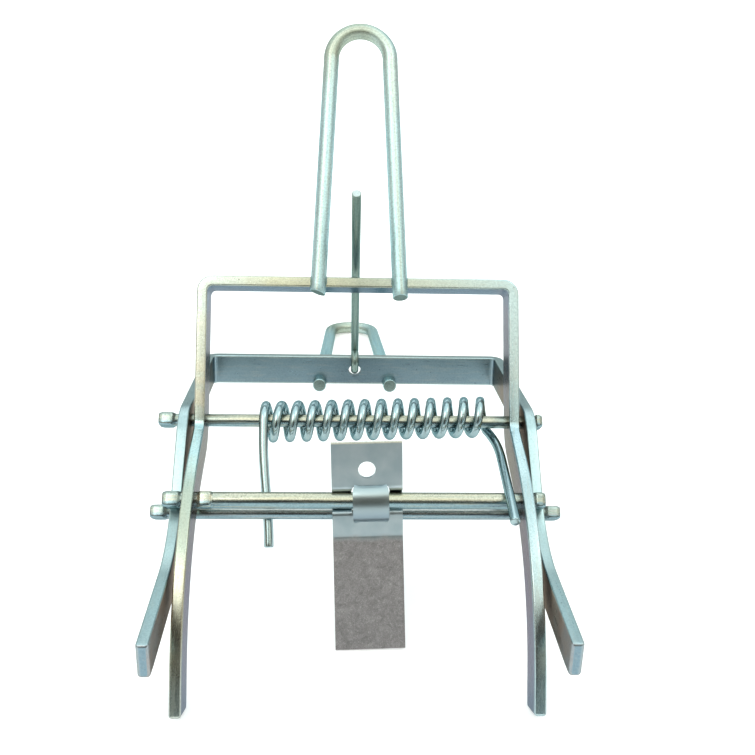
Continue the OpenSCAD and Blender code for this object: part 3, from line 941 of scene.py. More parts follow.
@dataclass
class ClawFrame:
    """One jaw of the trap: a bent strip with two claws, its loop and their weld beads.

    Args:
        side: the jaw's name and the body that it rides on.
        half: half of the width over the legs.
        reach: distance from the pivot to the bar's outer face.
        lean: heading of the legs, in degrees from straight down to the rear.
        kink: turn of the strip at the pivot.
        run: straight run below that turn.
        turn: turn of the claw.
        turn_r: radius of the claw along the middle of the strip.
        last: straight end of the claw.
        loop_side: 1 where the loop stands behind the bar and -1 where it stands before it.
        tip_wide: width of the strip at the claws' tips.
        tip_slant: slope of the tips' ends, which reach further at the rear.
        tip_shift: how far the strip wanders to the front on its way to the tips.
        latch_hole: diameter of the hole in the bar, or 0.
        loop: the wire loop.
        strip: the strip.
        bead: one of its weld beads.
    """

    side: str
    half: float
    reach: float
    lean: float
    kink: float
    run: float
    turn: float
    turn_r: float
    last: float
    loop_side: int
    tip_wide: float = 13.2
    tip_slant: float = 0.0
    tip_shift: float = 0.0
    latch_hole: float = 0.0
    loop: Loop = field(default_factory=Loop)
    strip: Strip = field(default_factory=Strip)
    bead: Bead = field(default_factory=Bead)

    def half_stations(self) -> tuple[list[Station], list[Outline]]:
        """Sections of the right half, from the middle of the bar to the claw's tip.

        Returns:
            The stations and their outlines.
        """
        s = self.strip
        leg_x = self.half - s.thick / 2
        down = heading(self.lean)
        bar_low = self.reach - s.thick / 2
        stations: list[Station] = []
        outlines: list[Outline] = []

        def put(centre: Vector, flat: Vector, angle: float, outline: Outline) -> None:
            """Adds a section at the end.

        Args:
            centre: its middle.
            flat: direction across the strip's thickness.
            angle: the strip's heading there.
            outline: its outline.
        """
            along = stations[-1].along + (centre - stations[-1].centre).length if stations else 0.0
            stations.append(Station(centre, flat, side_of(angle), along))
            outlines.append(outline)

        plain = s.outline()
        for i in range(9):
            put(-bar_low * down + X * (leg_x - s.corner_r) * i / 9, -down, self.lean, plain)
        for i in range(13):
            t = math.pi / 2 * i / 12
            in_by, up_by = s.corner_r * (1 - math.sin(t)), s.corner_r * (1 - math.cos(t))
            put(X * (leg_x - in_by) - (bar_low - up_by) * down, X * math.sin(t) - down * math.cos(t), self.lean, plain)
        for i in range(1, 8):
            put(X * leg_x - (bar_low - s.corner_r) * (1 - i / 8) * down, X, self.lean, plain)
        point, angle = X * leg_x, self.lean
        straight = self.last - s.tip_fade
        legs = ((s.kink_r, self.kink, 14, self.run, 4), (self.turn_r, self.turn, 40, straight, 3))
        for radius, turn, steps, run, parts in legs:
            start, sign = angle, math.copysign(1, turn)
            centre_of_turn = point + radius * sign * side_of(start)
            for i in range(steps + 1):
                angle = start + turn * i / steps
                point = centre_of_turn - radius * sign * side_of(angle)
                put(point, X, angle, plain)
            for i in range(1, 4):
                put(point + heading(angle) * run * i / parts, X, angle, plain)
            point = point + heading(angle) * run
        put(point + heading(angle) * s.tip_fade / 2, X, angle, s.outline(s.tip_cut / 2))
        put(point + heading(angle) * s.tip_fade, X, angle, s.outline(s.tip_cut))
        claw, long = self.half + self.reach, stations[-1].along
        for i, station in enumerate(stations):
            share = max((station.along - claw) / (long - claw), 0.0)
            taper = 1 - (1 - self.tip_wide / s.wide) * share
            outlines[i] = [(u, v * taper - self.tip_shift * share) for u, v in outlines[i]]
        return stations, outlines

    def bent_strip(self) -> bpy.types.Object:
        """The whole frame as one strip, from its left tip over its bar to its right tip.

        Returns:
            The piece.
        """
        right, outlines = self.half_stations()
        flip = Matrix.Diagonal((-1, 1, 1))
        mirrored = [Station(flip @ s.centre, flip @ s.first, s.second, -s.along) for s in right[:0:-1]]
        stations, sections = round_ends(mirrored + right, outlines[:0:-1] + outlines, self.strip.end_r, 5)
        obj = skin(f"{self.side}_strip", stations, sections)
        long = right[-1].along
        way = LIES.matrix().to_3x3() @ (right[-1].centre - right[-2].centre).normalized()
        for vert, value in marks(obj):
            along, first, second = value.vector
            share = max(1 - (long - abs(along)) / self.strip.slant_fade, 0.0)
            vert.co += way * share * self.tip_slant * (second + self.strip.wide / 2)
            vert.co.z = max(vert.co.z, 0.0)
            if abs(along) > long - CLOSE:
                value.vector = Vector((math.copysign(STRIP_END, along), first, second))
        if self.latch_hole:
            self.drill(obj)
        flat_normals(obj)
        return obj

    def drill(self, obj: bpy.types.Object) -> None:
        """Drills the latch's hole through the middle of the bar.

        Args:
            obj: the strip.
        """
        down = heading(self.lean)
        bar = -(self.reach - self.strip.thick / 2) * down
        side = side_of(self.lean)
        ends = [Station(bar + k * down, side, X, k) for k in (-self.strip.thick, self.strip.thick)]
        cut_out(obj, skin("drill", ends, [circle(self.latch_hole, 48)] * 2))
        back = LIES.matrix().inverted()
        for vert, value in marks(obj):
            p = back @ vert.co
            if abs(p.x) < self.latch_hole:
                value.vector = Vector((p.x, -(p - bar).dot(down), (p - bar).dot(side)))

    def loop_frame(self) -> tuple[Vector, Vector, Vector]:
        """Origin, up direction and normal of the loop's plane.

        Returns:
            The three vectors.
        """
        down = heading(self.lean)
        normal = side_of(self.lean) * self.loop_side
        return -self.reach * down + normal * self.loop.offset, -down, normal

    def loop_tilt(self) -> float:
        """Tilt of the loop's legs, in radians, so that they run into its round end.

        Returns:
            The tilt.
        """
        up = self.loop.reach - self.loop.bend_r
        half = self.loop.feet / 2
        return math.atan2(half, up) - math.asin(self.loop.bend_r / math.hypot(half, up))

    def wire_loop(self) -> bpy.types.Object:
        """The loop as one bent wire with sheared feet.

        Returns:
            The piece.
        """
        loop = self.loop
        origin, up, normal = self.loop_frame()
        tilt = self.loop_tilt()
        top = loop.reach - loop.bend_r
        bend = []
        for i in range(loop.bend_steps + 1):
            a = -tilt + (math.pi + 2 * tilt) * i / loop.bend_steps
            bend.append(origin + X * loop.bend_r * math.cos(a) + up * (top + loop.bend_r * math.sin(a)))
        left, right = (
            origin + X * side * (loop.feet / 2 + below * math.sin(tilt)) - up * below * math.cos(tilt)
            for side, below in zip((-1, 1), loop.feet_below, strict=True)
        )
        points = [right.lerp(bend[0], i / loop.leg_steps) for i in range(loop.leg_steps)]
        points += bend
        points += [bend[-1].lerp(left, i / loop.leg_steps) for i in range(1, loop.leg_steps + 1)]
        stations = wire_stations(points, normal)
        long = stations[-1].along
        stations, outlines = round_ends(stations, [circle(loop.wire, loop.sides)] * len(stations), loop.sheared_r)
        obj = skin(f"{self.side}_wire_loop", stations, outlines)
        lift = LIES.matrix().to_3x3() @ up
        for vert, value in marks(obj):
            along, first, second = value.vector
            for near, (slope, aside) in ((long - along, loop.slants[0]), (along, loop.slants[1])):
                share = max(1 - near / loop.slant_fade, 0.0)
                vert.co += lift * share * (slope * (first + loop.wire / 2) + aside * (second + loop.wire / 2))
                if near < CLOSE:
                    value.vector = Vector((WIRE_END, first, second))
        return obj

    def weld_beads(self) -> bpy.types.Object:
        """All four beads that hold the loop's legs to the bar's edge, as one piece.

        Returns:
            The piece.
        """
        _, up, normal = self.loop_frame()
        bead = self.bead
        edge = -self.reach * heading(self.lean) + normal * (self.strip.wide / 2 - bead.sunk)
        beads = []
        for leg in (-1, 1):
            for side in (-1, 1):
                across = X * (leg * self.loop.feet / 2 + side * (self.loop.wire / 2 - bead.under))
                stations, outlines = [], []
                for i in range(17):
                    t = i / 16
                    swell = math.sqrt(max(1 - (2 * t - 1) ** 4, 0.0))
                    ripple = 1 + bead.ripple * math.sin(t * bead.waves + leg + 2 * side)
                    centre = edge + across + up * (bead.sunk - bead.long * t)
                    stations.append(Station(centre, X, normal, bead.long * t))
                    outlines.append(circle(2 * max(bead.radius * swell * ripple, bead.least), 20))
                beads.append(skin(f"{self.side}_bead", stations, outlines))
        return join(beads, f"{self.side}_weld_beads")

    def build(self, finishes: Finishes) -> None:
        """Makes and dresses the frame's pieces.

        Args:
            finishes: the materials by name.
        """
        side = self.side
        finish_piece(self.bent_strip(), finishes[f"{side}_strip"], [f"{side}_frame"], side)
        finish_piece(self.wire_loop(), finishes["plated_wire"], [f"{side}_handle"], side)
        finish_piece(self.weld_beads(), finishes["weld"], [f"{side}_welds"], side)


def join(parts: Sequence[bpy.types.Object], name: str) -> bpy.types.Object:
    """Joins meshes into one new piece.

    Args:
        parts: the objects.
        name: the joined piece's name.
    Returns:
        The joined piece.
    """
    bm = bmesh.new()
    for part in parts:
        bm.from_mesh(part.data)
        bpy.data.objects.remove(part)
    obj = mesh_object(name, bm)
    tidy_shade(obj.data)
    return obj


# ---------------------------------------------------------------- pins and rods


@dataclass
class CrimpedRod:
    """A round rod whose ends, and stops along it, are pressed square.

    Args:
        name: the piece's name.
        node: the CAD node that it replaces.
        body: the body that it rides on.
        y: place of its middle towards the rear.
        z: place of its middle towards the handles.
        thick: diameter of the rod.
        crimps: each crimp's two ends along X.
        wide: size of a crimp along its first side.
        tall: size of a crimp along its second side.
        turn: turn of the crimps about the rod.
        film: which of the two rod finishes it has.
        ramp_in: length over which an inner crimp's ends turn square.
        end_r: rounding of the ends' rims.
    """

    name: str
    node: str
    body: str
    y: float
    z: float
    thick: float
    crimps: tuple[tuple[float, float], ...]
    wide: float
    tall: float
    turn: float
    film: str = "straw_rod"
    ramp_in: float = 1.3
    end_r: float = 0.9

    def section(self, x: float) -> Outline:
        """Outline of the rod at a place along X.

        Args:
            x: the place.
        Returns:
            The outline.
        """
        r = self.thick / 2
        square, swell = 0.0, 1.0
        for low, high in self.crimps:
            middle = (low + high) / 2
            left_end = low == self.crimps[0][0] and x < middle
            right_end = high == self.crimps[-1][1] and x > middle
            edge = min(x - low, high - x)
            if edge >= -1e-6:
                square = max(square, 1.0 if left_end or right_end else eased(edge / self.ramp_in))
                swell = 1.02 - 0.08 * abs(2 * (x - low) / (high - low) - 1) ** 2.4
        a, b = (r + (size / 2 * swell - r) * square for size in (self.wide, self.tall))
        return superellipse(a, b, 2 + 4.2 * square, 48, self.turn)

    def places(self) -> list[float]:
        """Places of the rod's sections along X, close together on its crimps.

        Returns:
            The places, from left to right.
        """
        first, last = self.crimps[0][0], self.crimps[-1][1]
        places = {first + (last - first) * i / 60 for i in range(61)}
        for low, high in self.crimps:
            places.update(low + (high - low) * i / 14 for i in range(15))
        kept = [first]
        for x in sorted(places):
            if x - kept[-1] > 0.2:
                kept.append(x)
        # The rims are rounded within the first and the last millimetre
        return [first, *(x for x in kept if x - first >= 1.0 and last - x >= 1.0), last]

    def build(self, finishes: Finishes) -> None:
        """Makes and dresses the rod.

        Args:
            finishes: the materials by name.
        """
        places = self.places()
        stations = [Station(Vector((x, self.y, self.z)), Vector((0, 1, 0)), Vector((0, 0, 1)), x) for x in places]
        obj = skin(self.name, *round_ends(stations, [self.section(x) for x in places], self.end_r, 5))
        flat_normals(obj)
        finish_piece(obj, finishes[self.film], [self.node], self.body)


# ---------------------------------------------------------------- spring


@dataclass
class TorsionSpring:
    """The torsion spring, wound loosely on the pin, with an arm on each rod.

    Args:
        wire: diameter of the wire.
        coil_r: radius of the coil to the middle of the wire.
        turns: number of turns whose tops show.
        pitch: step along the pin.
        start: place of the first turn's top along the pin.
        left: offset of the coil's left end from the pin.
        right: offset of the coil's right end from the pin.
        left_arm: angle, length and drift of the left arm.
        right_arm: angle, length and drift of the right arm.
        end_steps: share of the pitch at which the left and right ends run on past the last tops.
        held: length of the coil's left end meant to stay with the rear frame; it only feeds a point that nothing uses.
        end_r: rounding of the ends' rims.
        ring_steps: steps round one turn.
        arm_steps: steps along each arm.
        sides: facets round the wire.
    """

    wire: float = 3.5
    coil_r: float = 6.45
    turns: int = 14
    pitch: float = 6.5
    start: float = -35.6
    left: tuple[float, float] = (0.3, -0.4)
    right: tuple[float, float] = (-1.2, 1.6)
    left_arm: tuple[float, float, float] = (24.33, 48.5, 3.2)
    right_arm: tuple[float, float, float] = (-23.10, 57.0, 3.3)
    end_steps: tuple[float, float] = (0.35, 1.2)
    held: float = 3.0
    end_r: float = 0.45
    ring_steps: int = 40
    arm_steps: int = 26
    sides: int = 24

    def on_coil(self, a: float) -> Vector:
        """Point of the coil at an angle in degrees.

        Args:
            a: the angle, 90 at the first turn's top.
        Returns:
            The point in the trap's frame.
        """
        first, last = 90.0, 90.0 + 360 * (self.turns - 1)
        inside = min(max(a, first), last)
        step = self.end_steps[0] if a < first else self.end_steps[1]
        x = self.start + self.pitch * ((inside - first) + step * (a - inside)) / 360
        k = (inside - first) / (last - first)
        y = self.left[0] * (1 - k) + self.right[0] * k
        z = self.left[1] * (1 - k) + self.right[1] * k
        t = math.radians(a)
        return Vector((x, y - self.coil_r * math.cos(t), z + self.coil_r * math.sin(t)))

    def path(self) -> list[Vector]:
        """The wire's middle, from the left arm's end to the right arm's end.

        Returns:
            The points in the trap's frame.
        """
        a0 = -self.left_arm[0]
        a1 = 90 + 360 * (self.turns - 1) + 90 - self.right_arm[0]
        count = math.ceil((a1 - a0) / 360 * self.ring_steps)
        coil = [self.on_coil(a0 + (a1 - a0) * i / count) for i in range(count + 1)]

        def arm(top: Vector, angle: float, long: float, drift: Callable[[float], float]) -> list[Vector]:
            """Points from just below the coil to the arm's end.

            Args:
                top: the coil's end.
                angle: the arm's heading, in degrees.
                long: its length.
                drift: its offset along X by its share of the length.
            Returns:
                The points.
            """
            ts = [i / self.arm_steps for i in range(1, self.arm_steps + 1)]
            return [top + heading(angle) * long * t + Vector((drift(t), 0, 0)) for t in ts]

        def left_drift(t: float) -> float:
            """The left arm hangs straight at first and then leans to the right."""
            return self.left_arm[2] * (0.25 * t + 0.75 * eased((t - 0.15) / 0.85))

        def right_drift(t: float) -> float:
            """The right arm sweeps out beside the pin and then runs straight."""
            return self.right_arm[2] * (1 - (1 - min(t / 0.34, 1)) ** 2.4) - 0.9 * t * t

        left = arm(coil[0], self.left_arm[0], self.left_arm[1], left_drift)
        right = arm(coil[-1], self.right_arm[0], self.right_arm[1], right_drift)
        return left[::-1] + coil + right

    def build(self, finishes: Finishes) -> None:
        """Makes and dresses the spring, which rides on no body, and bakes its place into its mesh.

        Args:
            finishes: the materials by name.
        """
        stations = wire_stations(self.path(), X, carried=True)
        section = circle(self.wire, self.sides)
        obj = skin("torsion_spring", *round_ends(stations, [section] * len(stations), self.end_r))
        finish_piece(obj, finishes["spring_wire"], ["spring"], None)
        begin = LIES.matrix() @ (X * (self.start + self.held))
        end = LIES.matrix() @ (X * (self.start + self.pitch * (self.turns - 1)))
        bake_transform(obj)


# ---------------------------------------------------------------- trigger plate


# Columns of the plate's grid that make its bridge; a slit lies on either side of them
BRIDGE = range(4, 13)


@dataclass
class TriggerPlate:
    """The trigger: a pressed plate with a bridge over the front rod and channels behind it.

    Args:
        wide: width of the plate.
        thick: thickness of the sheet.
        up: height above the rod.
        mid: distance from the rod to the bend.
        low: length below the bend.
        lean: lean of the upper part to the front, in degrees.
        bend: angle of the bend.
        skew: skew on the rod.
        x: place along the rod.
        rod: the rod's place in the trap's YZ plane.
        hole_up: height of the hole above the rod.
        hole: diameter of the hole.
        bridge: width of the bridge.
        bridge_x: place of the bridge's middle across the plate.
        foot: half of the bridge's height.
        drop: how far the bridge's middle stands below the rod's.
        corner: rounding of the bridge's corners.
        slit: width of the slits beside the bridge.
        ring: radius of the bridge and the channels to the middle of the sheet.
        rows: rows of the grid across the bridge.
    """

    wide: float = 25.6
    thick: float = 1.3
    up: float = 22.3
    mid: float = 14.5
    low: float = 40.4
    lean: float = 50.3
    bend: float = 13.5
    skew: float = -1.9
    x: float = 3.1
    rod: tuple[float, float] = (-5.8, -38.5)
    hole_up: float = 12.0
    hole: float = 6.3
    bridge: float = 12.9
    bridge_x: float = 1.2
    foot: float = 7.0
    drop: float = 1.0
    corner: float = 2.0
    slit: float = 0.5
    ring: float = 4.0
    rows: int = 18

    def matrix(self) -> Matrix:
        """Transform from the plate's own frame to the row frame.

        Returns:
            The transform.
        """
        lean, skew = math.radians(self.lean), math.radians(self.skew)
        turn = Matrix.Rotation(lean, 4, "X") @ Matrix.Rotation(skew, 4, "Y")
        return LIES.matrix() @ Matrix.Translation((self.x, *self.rod)) @ turn

    def flat_path(self) -> tuple[list[tuple[float, float]], list[tuple[float, float]]]:
        """Side view of the flat parts above and below the bridge, as (rearward, up) points.

        Returns:
            The upper and the lower part.
        """
        top, low = self.foot - self.drop, self.foot + self.drop
        upper = [(0.0, self.up - (self.up - top) * i / 8) for i in range(9)]
        radius = 2.5
        bend = math.radians(self.bend)
        lower = [(0.0, -low - (self.mid - low - 1.0) * i / 4) for i in range(5)]
        y, z = lower[-1]
        for i in range(1, 7):
            a = bend * i / 6
            lower.append((y - radius * (1 - math.cos(a)), z - radius * math.sin(a)))
        y, z = lower[-1]
        run = self.low + 0.6
        lower += [(y - run * math.sin(bend) * i / 16, z - run * math.cos(bend) * i / 16) for i in range(1, 17)]
        return upper, lower

    def bridge_path(self) -> list[tuple[float, float]]:
        """Side view of the bridge, which bulges round before the rod.

        Returns:
            The (rearward, up) points, from the top.
        """
        last = math.radians(76)
        angles = [last * (1 - 2 * i / (self.rows - 2)) for i in range(self.rows - 1)]
        flat, tall = math.cos(last), (self.foot - 0.5) / math.sin(last)
        bulge = [
            (-self.ring * ((math.cos(a) - flat) / (1 - flat) + 1e-9) ** 0.8, tall * math.sin(a) - self.drop)
            for a in angles
        ]
        return [(0.0, self.foot - self.drop), *bulge, (0.0, -self.foot - self.drop)]

    def channel_path(self) -> list[tuple[float, float]]:
        """Side view of a channel, which passes behind the rod.

        Returns:
            The (rearward, up) points, from the top.
        """
        rim = 1.2
        n = self.rows
        points = [(0.0, self.foot), (0.0, self.ring + rim + 0.4), (0.05, self.ring + rim)]
        points += [(rim * (1 - math.cos(a)) + 0.05, self.ring + rim * (1 - math.sin(a))) for a in (0.6, 1.2)]
        count = n + 1 - 2 * len(points)
        for i in range(count):
            a = math.pi / 2 - 0.32 - (math.pi - 0.64) * i / (count - 1)
            points.append((self.ring * math.cos(a) * 0.98 + 0.1, self.ring * math.sin(a)))
        points += [(y, -z) for y, z in reversed(points[:5])]
        return points

    def grid(self) -> bpy.types.Object:
        """The sheet's middle surface, with the slits beside the bridge left open.

        Returns:
            A surface of no thickness in the plate's own frame.
        """
        half, strap = self.wide / 2, self.bridge / 2
        middle, beside = self.bridge_x, half - strap - self.slit
        columns = [-half + (beside + middle) * i / 3 for i in range(4)]
        columns += [middle - strap + self.bridge * i / 8 for i in range(9)]
        columns += [middle + strap + self.slit + (beside - middle) * i / 3 for i in range(4)]
        upper, lower = self.flat_path()
        bridge, channel = self.bridge_path(), self.channel_path()
        count = min(len(bridge), len(channel))
        bm = bmesh.new()
        layer = bm.verts.layers.float_vector.new(GRAIN)
        rows: list[list[bmesh.types.BMVert]] = []

        def drawn_in(z: float) -> float:
            """How far the bridge's sides are drawn in at a height, for its round corners.

            Args:
                z: the height above the rod.
            Returns:
                The distance.
            """
            over = abs(z + self.drop) - (self.foot - self.corner)
            return self.corner - math.sqrt(max(self.corner**2 - max(over, 0.0) ** 2, 0.0)) + 1e-6

        def put_row(path_of: Callable[[int], tuple[float, float]], down: float, narrow: float = 0.0) -> None:
            """Adds a row of points across the plate, with the bridge's sides drawn in that far.

            Args:
                path_of: the (rearward, up) point by column.
                down: distance down the plate.
                narrow: how far the sides are drawn in.
            """
            row = []
            for i, x in enumerate(columns):
                y, z = path_of(i)
                if narrow and i in BRIDGE:
                    y *= 1 - 0.07 * abs((x - middle) / strap) ** 4
                    x = middle + (x - middle) * (1 - narrow / strap)
                elif i in (BRIDGE.start - 1, BRIDGE.stop):
                    x += narrow if i < BRIDGE.start else -narrow
                vert = bm.verts.new((x, y, z))
                vert[layer] = Vector((down, x, y))
                row.append(vert)
            rows.append(row)

        top, low = self.foot - self.drop + 1e-6, -self.foot - self.drop - 1e-6
        for y, z in upper:
            put_row(lambda _, y=y, z=z: (y, z), self.up - z, drawn_in(z) if z <= top else 0.0)
        first_open = len(rows) - 1
        for k in range(1, count - 1):
            z = bridge[k][1]
            put_row(lambda i, k=k: bridge[k] if i in BRIDGE else channel[k], self.up - z, drawn_in(z))
        last_open = len(rows)
        for y, z in lower:
            put_row(lambda _, y=y, z=z: (y, z), self.up - z, drawn_in(z) if z >= low else 0.0)
        for r, (one, two) in enumerate(zip(rows, rows[1:])):
            for c in range(len(columns) - 1):
                if c in (BRIDGE.start - 1, BRIDGE.stop - 1) and first_open <= r < last_open:
                    continue
                bm.faces.new((one[c], one[c + 1], two[c + 1], two[c]))
        return mesh_object("trigger_plate_pressed", bm)

    def build(self, finishes: Finishes) -> None:
        """Makes the plate from its surface, gives it thickness and punches its hole.

        Args:
            finishes: the materials by name.
        """
        obj = self.grid()
        thick = obj.modifiers.new("thick", "SOLIDIFY")
        thick.thickness, thick.offset, thick.use_even_offset = self.thick, 0.0, True
        rim = obj.modifiers.new("rim", "BEVEL")
        rim.width, rim.segments, rim.limit_method, rim.angle_limit = 0.18, 2, "ANGLE", math.radians(50)
        applied(obj)
        # The surface is still in the plate's own millimetres, so the punch is too
        still = Placement(Vector((0, 0, 0)), 0.0)
        up = Vector((0, 0, 1)) / MM
        ends = [Station(Vector((0, y, self.hole_up)) / MM, X / MM, up, y) for y in (-3.0, 3.0)]
        cut_out(obj, skin("punch", ends, [circle(self.hole, 56)] * 2, still))
        for vert, value in marks(obj):
            value.vector = Vector((self.up - vert.co.z, vert.co.x, vert.co.y))
        obj.data.transform(self.matrix())
        tidy_shade(obj.data, 35)
        flat_normals(obj)
        finish_piece(obj, finishes["plated_sheet"], ["trigger_plate"], "trigger")


# ---------------------------------------------------------------- latch


@dataclass
class LatchRod:
    """The latch: a straight wire with an eye closed round the margin of the rear bar.

    Args:
        wire: diameter of the wire.
        eye_r: radius of the eye to the middle of the wire.
        eye_turn: turn of wire in the eye, in degrees.
        long: length from the eye to the free end.
        dip: lean of the straight part, in degrees.
        aside: how far the free end stands to the left.
        end_r: rounding of the ends' rims.
        at: the eye's place in the trap's YZ plane.
        sides: facets round the wire.
    """

    wire: float = 3.4
    eye_r: float = 4.3
    eye_turn: float = 300.0
    end_r: float = 0.3
    long: float = 111.4
    dip: float = 6.98
    aside: float = 1.9
    at: tuple[float, float] = (0.0, 0.0)
    sides: int = 28

    def build(self, finishes: Finishes) -> None:
        """Makes and dresses the latch.

        Args:
            finishes: the materials by name.
        """
        to_trap = Matrix.Translation((0, *self.at)) @ Matrix.Rotation(math.radians(self.dip), 4, "X")
        shares = [1 - i / 30 for i in range(30)]
        straight = [Vector((-self.aside * share, -self.long * share, self.eye_r)) for share in shares]
        eye = []
        for i in range(49):
            a = math.radians(self.eye_turn * i / 48)
            eye.append(Vector((0, self.eye_r * math.sin(a), self.eye_r * math.cos(a))))
        points = [to_trap @ p for p in straight + eye]
        stations = wire_stations(points, X)
        section = circle(self.wire, self.sides)
        obj = skin("latch_wire_rod", *round_ends(stations, [section] * len(stations), self.end_r))
        for _, value in marks(obj):
            if value.vector.x < CLOSE:
                value.vector = Vector((WIRE_END, value.vector.y, value.vector.z))
        finish_piece(obj, finishes["latch_wire"], ["latch_rod"], "latch")


# ---------------------------------------------------------------- studio


@dataclass
class Studio:
    """Pale floor, soft light and the camera.

    Args:
        focal: the lens in pixels on an image of 755 pixels.
        size: the image's side in pixels.
        distance: depth of the pivot in front of the camera, in millimetres.
        shift: place of the pivot in the camera's frame, in millimetres.
        pitch: turn of the trap about the camera's X, in degrees.
        yaw: turn about its Y.
        roll: turn about its Z.
    """

    focal: float = 931.57
    size: float = 755.0
    distance: float = 365.56
    shift: tuple[float, float] = (-7.77, -17.18)
    pitch: float = 36.55
    yaw: float = 2.63
    roll: float = -0.55

    def camera(self) -> None:
        """Makes the camera that sees the trap from its front and above."""
        p, y, r = (math.radians(v) for v in (self.pitch, self.yaw, self.roll))
        base = Matrix(((1, 0, 0), (0, -math.sin(p), math.cos(p)), (0, -math.cos(p), -math.sin(p))))
        turn = Matrix.Rotation(r, 3, "Z") @ Matrix.Rotation(y, 3, "Y") @ base
        to_row = Matrix.Rotation(-math.radians(LIES.lean_back), 3, "X")
        seen = to_row @ turn.transposed()
        place = LIES.pivot + seen @ (Vector((-self.shift[0], -self.shift[1], self.distance)) * MM)
        data = bpy.data.cameras.new("camera")
        data.sensor_width = 36.0
        data.lens = 36.0 * self.focal / self.size
        data.clip_start, data.clip_end = 0.01, 50.0
        camera = put_in_scene("camera", data)
        camera.matrix_world = Matrix.Translation(place) @ seen.to_4x4()
        bpy.context.scene.camera = camera

    def sheet(
        self, name: str, corners: Sequence[tuple[float, float, float]], finish: str, inputs: dict[str, object]
    ) -> bpy.types.Object:
        """Makes a flat piece of the studio.

        Args:
            name: its name.
            corners: its four corners, in metres.
            finish: its material's name.
            inputs: the shader's inputs.
        Returns:
            The piece.
        """
        mesh = bpy.data.meshes.new(name)
        mesh.from_pydata(corners, [], [(0, 1, 2, 3)])
        mesh.materials.append(make_material(finish, lambda _: inputs))
        obj = put_in_scene(name, mesh)
        return obj

    def floor(self) -> None:
        """Makes the white sheet that the trap lies on, which is lit a little from below."""
        r = 6.0
        white = {"Base Color": colour("#E9EAEA"), "Roughness": 0.9}
        lit = {"Emission Color": colour("#FFFFFF"), "Emission Strength": 0.4}
        self.sheet("floor", [(-r, -r, 0), (r, -r, 0), (r, r, 0), (-r, r, 0)], "backlit_white_acrylic", white | lit)

    def light(self) -> None:
        """Makes the studio's surroundings and its soft boxes."""
        scene = bpy.context.scene
        scene.view_settings.view_transform = "Standard"
        world = bpy.data.worlds.new("studio")
        scene.world = world
        world.use_nodes = True
        tree = world.node_tree
        tree.nodes.clear()
        way = add(tree, "SeparateXYZ", {0: add(tree, "TexCoord", {}).outputs["Generated"]}).outputs
        front, rear = (
            ramp(add(tree, "ValToRGB", {"Fac": way[2]}), stops)
            for stops in (
                ((0.0, "#66767C"), (0.3, "#76827F"), (0.52, "#A9A696"), (0.66, "#EAE7DA"), (1.0, "#DCE9EA")),
                ((0.0, "#98A5A8"), (0.4, "#ABB8BA"), (1.0, "#DCE9EA")),
            )
        )
        wide = add(tree, "Math", {0: way[0]}, operation="ABSOLUTE")
        tone = front
        for value, low, high, tint in ((way[1], -0.3, 0.3, rear), (wide, 0.7, 0.98, colour("#978C86"))):
            limits = {"Value": value, "From Min": low, "From Max": high}
            cover = add(tree, "MapRange", limits, interpolation_type="SMOOTHSTEP")
            tone = add(tree, "Mix", {"Factor": cover, 6: tone, 7: tint}, data_type="RGBA").outputs[2]
        back = add(tree, "Background", {"Color": tone, "Strength": 2.0})
        plain = add(tree, "Background", {"Color": colour("#F7F8F8"), "Strength": 1.0})
        seen = add(tree, "LightPath", {}).outputs["Is Camera Ray"]
        both = add(tree, "MixShader", {0: seen, 1: back, 2: plain})
        add(tree, "OutputWorld", {"Surface": both})
        self.soft_box("key", (-0.5, -0.6, 1.1), 0.6, 2.6)
        self.soft_box("fill", (0.6, -0.2, 1.1), 0.5, 1.2)
        self.soft_box("back", (0.0, 0.9, 0.9), 0.8, 1.5)
        self.camera_back()

    def camera_back(self) -> None:
        """Makes the dark back of the camera's stand, which the curved steel mirrors."""
        x, y, low, high = 0.13, -0.37, 0.07, 0.40
        corners = [(-x, y, low), (x, y, low), (x, y, high), (-x, y, high)]
        brown = {"Base Color": colour("#3A3028"), "Roughness": 0.9}
        card = self.sheet("camera_stand", corners, "dark_brown_cloth", brown)
        card.visible_camera = False

    def soft_box(self, name: str, place: tuple[float, float, float], size: float, watts: float) -> None:
        """Makes one square soft box that faces the trap.

        Args:
            name: the light's name.
            place: where it hangs, in metres.
            size: its side, in metres.
            watts: its power.
        """
        data = bpy.data.lights.new(name, "AREA")
        data.shape, data.size, data.energy = "SQUARE", size, watts
        light = put_in_scene(name, data)
        light.location = place
        aim = Vector((0, 0, 0.08)) - Vector(place)
        light.rotation_euler = aim.to_track_quat("-Z", "Y").to_euler()

    def build(self) -> None:
        """Makes the camera, the floor and the light."""
        self.camera()
        self.floor()
        self.light()


# ---------------------------------------------------------------- the trap


# Distance from the middle of the rear strip to the middle of the latch's eye, across the strip
EYE_ASIDE = 4.15


def latch_eye(rear: ClawFrame) -> tuple[float, float]:
    """Place of the latch's eye, which turns about the margin before the hole."""
    eye = -(rear.reach - rear.strip.thick / 2) * heading(rear.lean) - EYE_ASIDE * side_of(rear.lean)
    return eye.y, eye.z


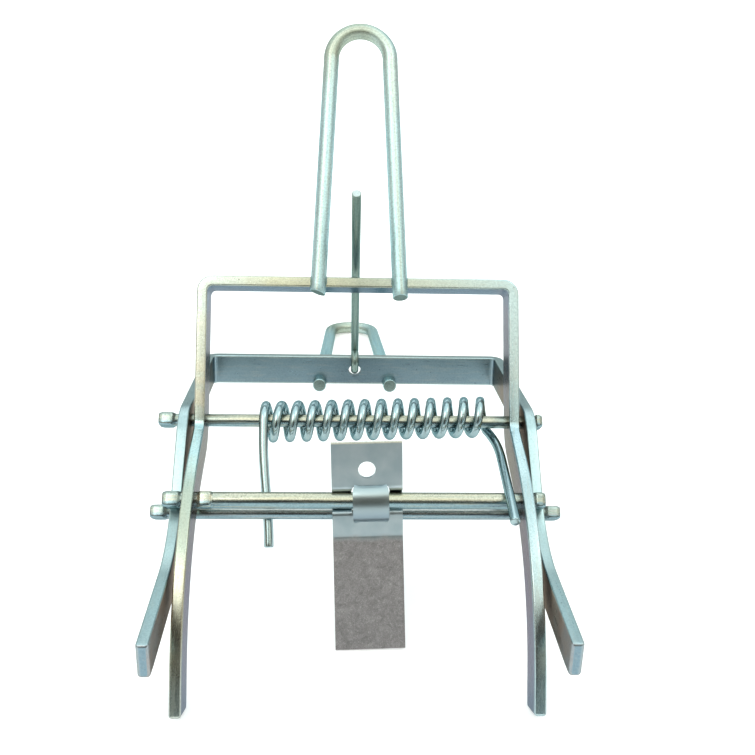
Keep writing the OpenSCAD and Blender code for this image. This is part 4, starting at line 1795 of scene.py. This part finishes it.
def main() -> None:
    """Builds the studio and every piece of the trap, in order."""
    logging.basicConfig(level=logging.INFO, format="%(message)s")
    Studio().build()
    finishes = {
        "front_strip": FRONT_STRIP_ZINC.build(),
        "rear_strip": REAR_STRIP_ZINC.build(),
        "plated_wire": WIRE_ZINC.build(),
        "straw_rod": ROD_ZINC.build(),
        "grey_rod": GREY_ROD_ZINC.build(),
        "spring_wire": SPRING_ZINC.build(),
        "latch_wire": LATCH_ZINC.build(),
        "weld": WELD_ZINC.build(),
        "plated_sheet": DullZincSheet().build(),
    }
    loop = Loop(offset=6.7, feet_below=(7.6, 8.8), slants=((0.12, 0.3), (0.26, 0.0)))
    front = ClawFrame(
        side="front", half=62.8, reach=56.0, lean=31.7, kink=-47.5, run=14.5, turn=53.0, turn_r=84.3, last=10.9,
        loop_side=-1, tip_slant=0.12, tip_shift=1.1, loop=loop,
    )
    rear = ClawFrame(
        side="rear", half=68.4, reach=71.9, lean=-36.0, kink=48.5, run=26.0, turn=-45.0, turn_r=48.0, last=39.0,
        loop_side=1, tip_wide=12.2, latch_hole=5.6,
    )
    front.build(finishes)
    rear.build(finishes)
    for rod in (
        CrimpedRod(
            "pivot_pin_rod", "pivot_pin", "rear", y=0.0, z=0.0, thick=4.9,
            crimps=((-77.0, -70.5), (69.2, 72.6)), wide=6.9, tall=5.2, turn=20.0,
        ),
        CrimpedRod(
            "front_cross_rod", "front_rod", "front", y=-5.8, z=-38.5, thick=6.0,
            crimps=((-70.4, -63.8), (-58.0, -52.4), (63.4, 67.9)), wide=7.0, tall=5.8, turn=20.0,
        ),
        CrimpedRod(
            "rear_cross_rod", "rear_rod", "rear", y=5.1, z=-37.6, thick=4.9,
            crimps=((-76.4, -70.0), (69.6, 75.6)), wide=6.6, tall=5.0, turn=20.0, film="grey_rod",
        ),
    ):
        rod.build(finishes)
    TorsionSpring().build(finishes)
    TriggerPlate().build(finishes)
    LatchRod(at=latch_eye(rear)).build(finishes)


if __name__ == "__main__":
    main()
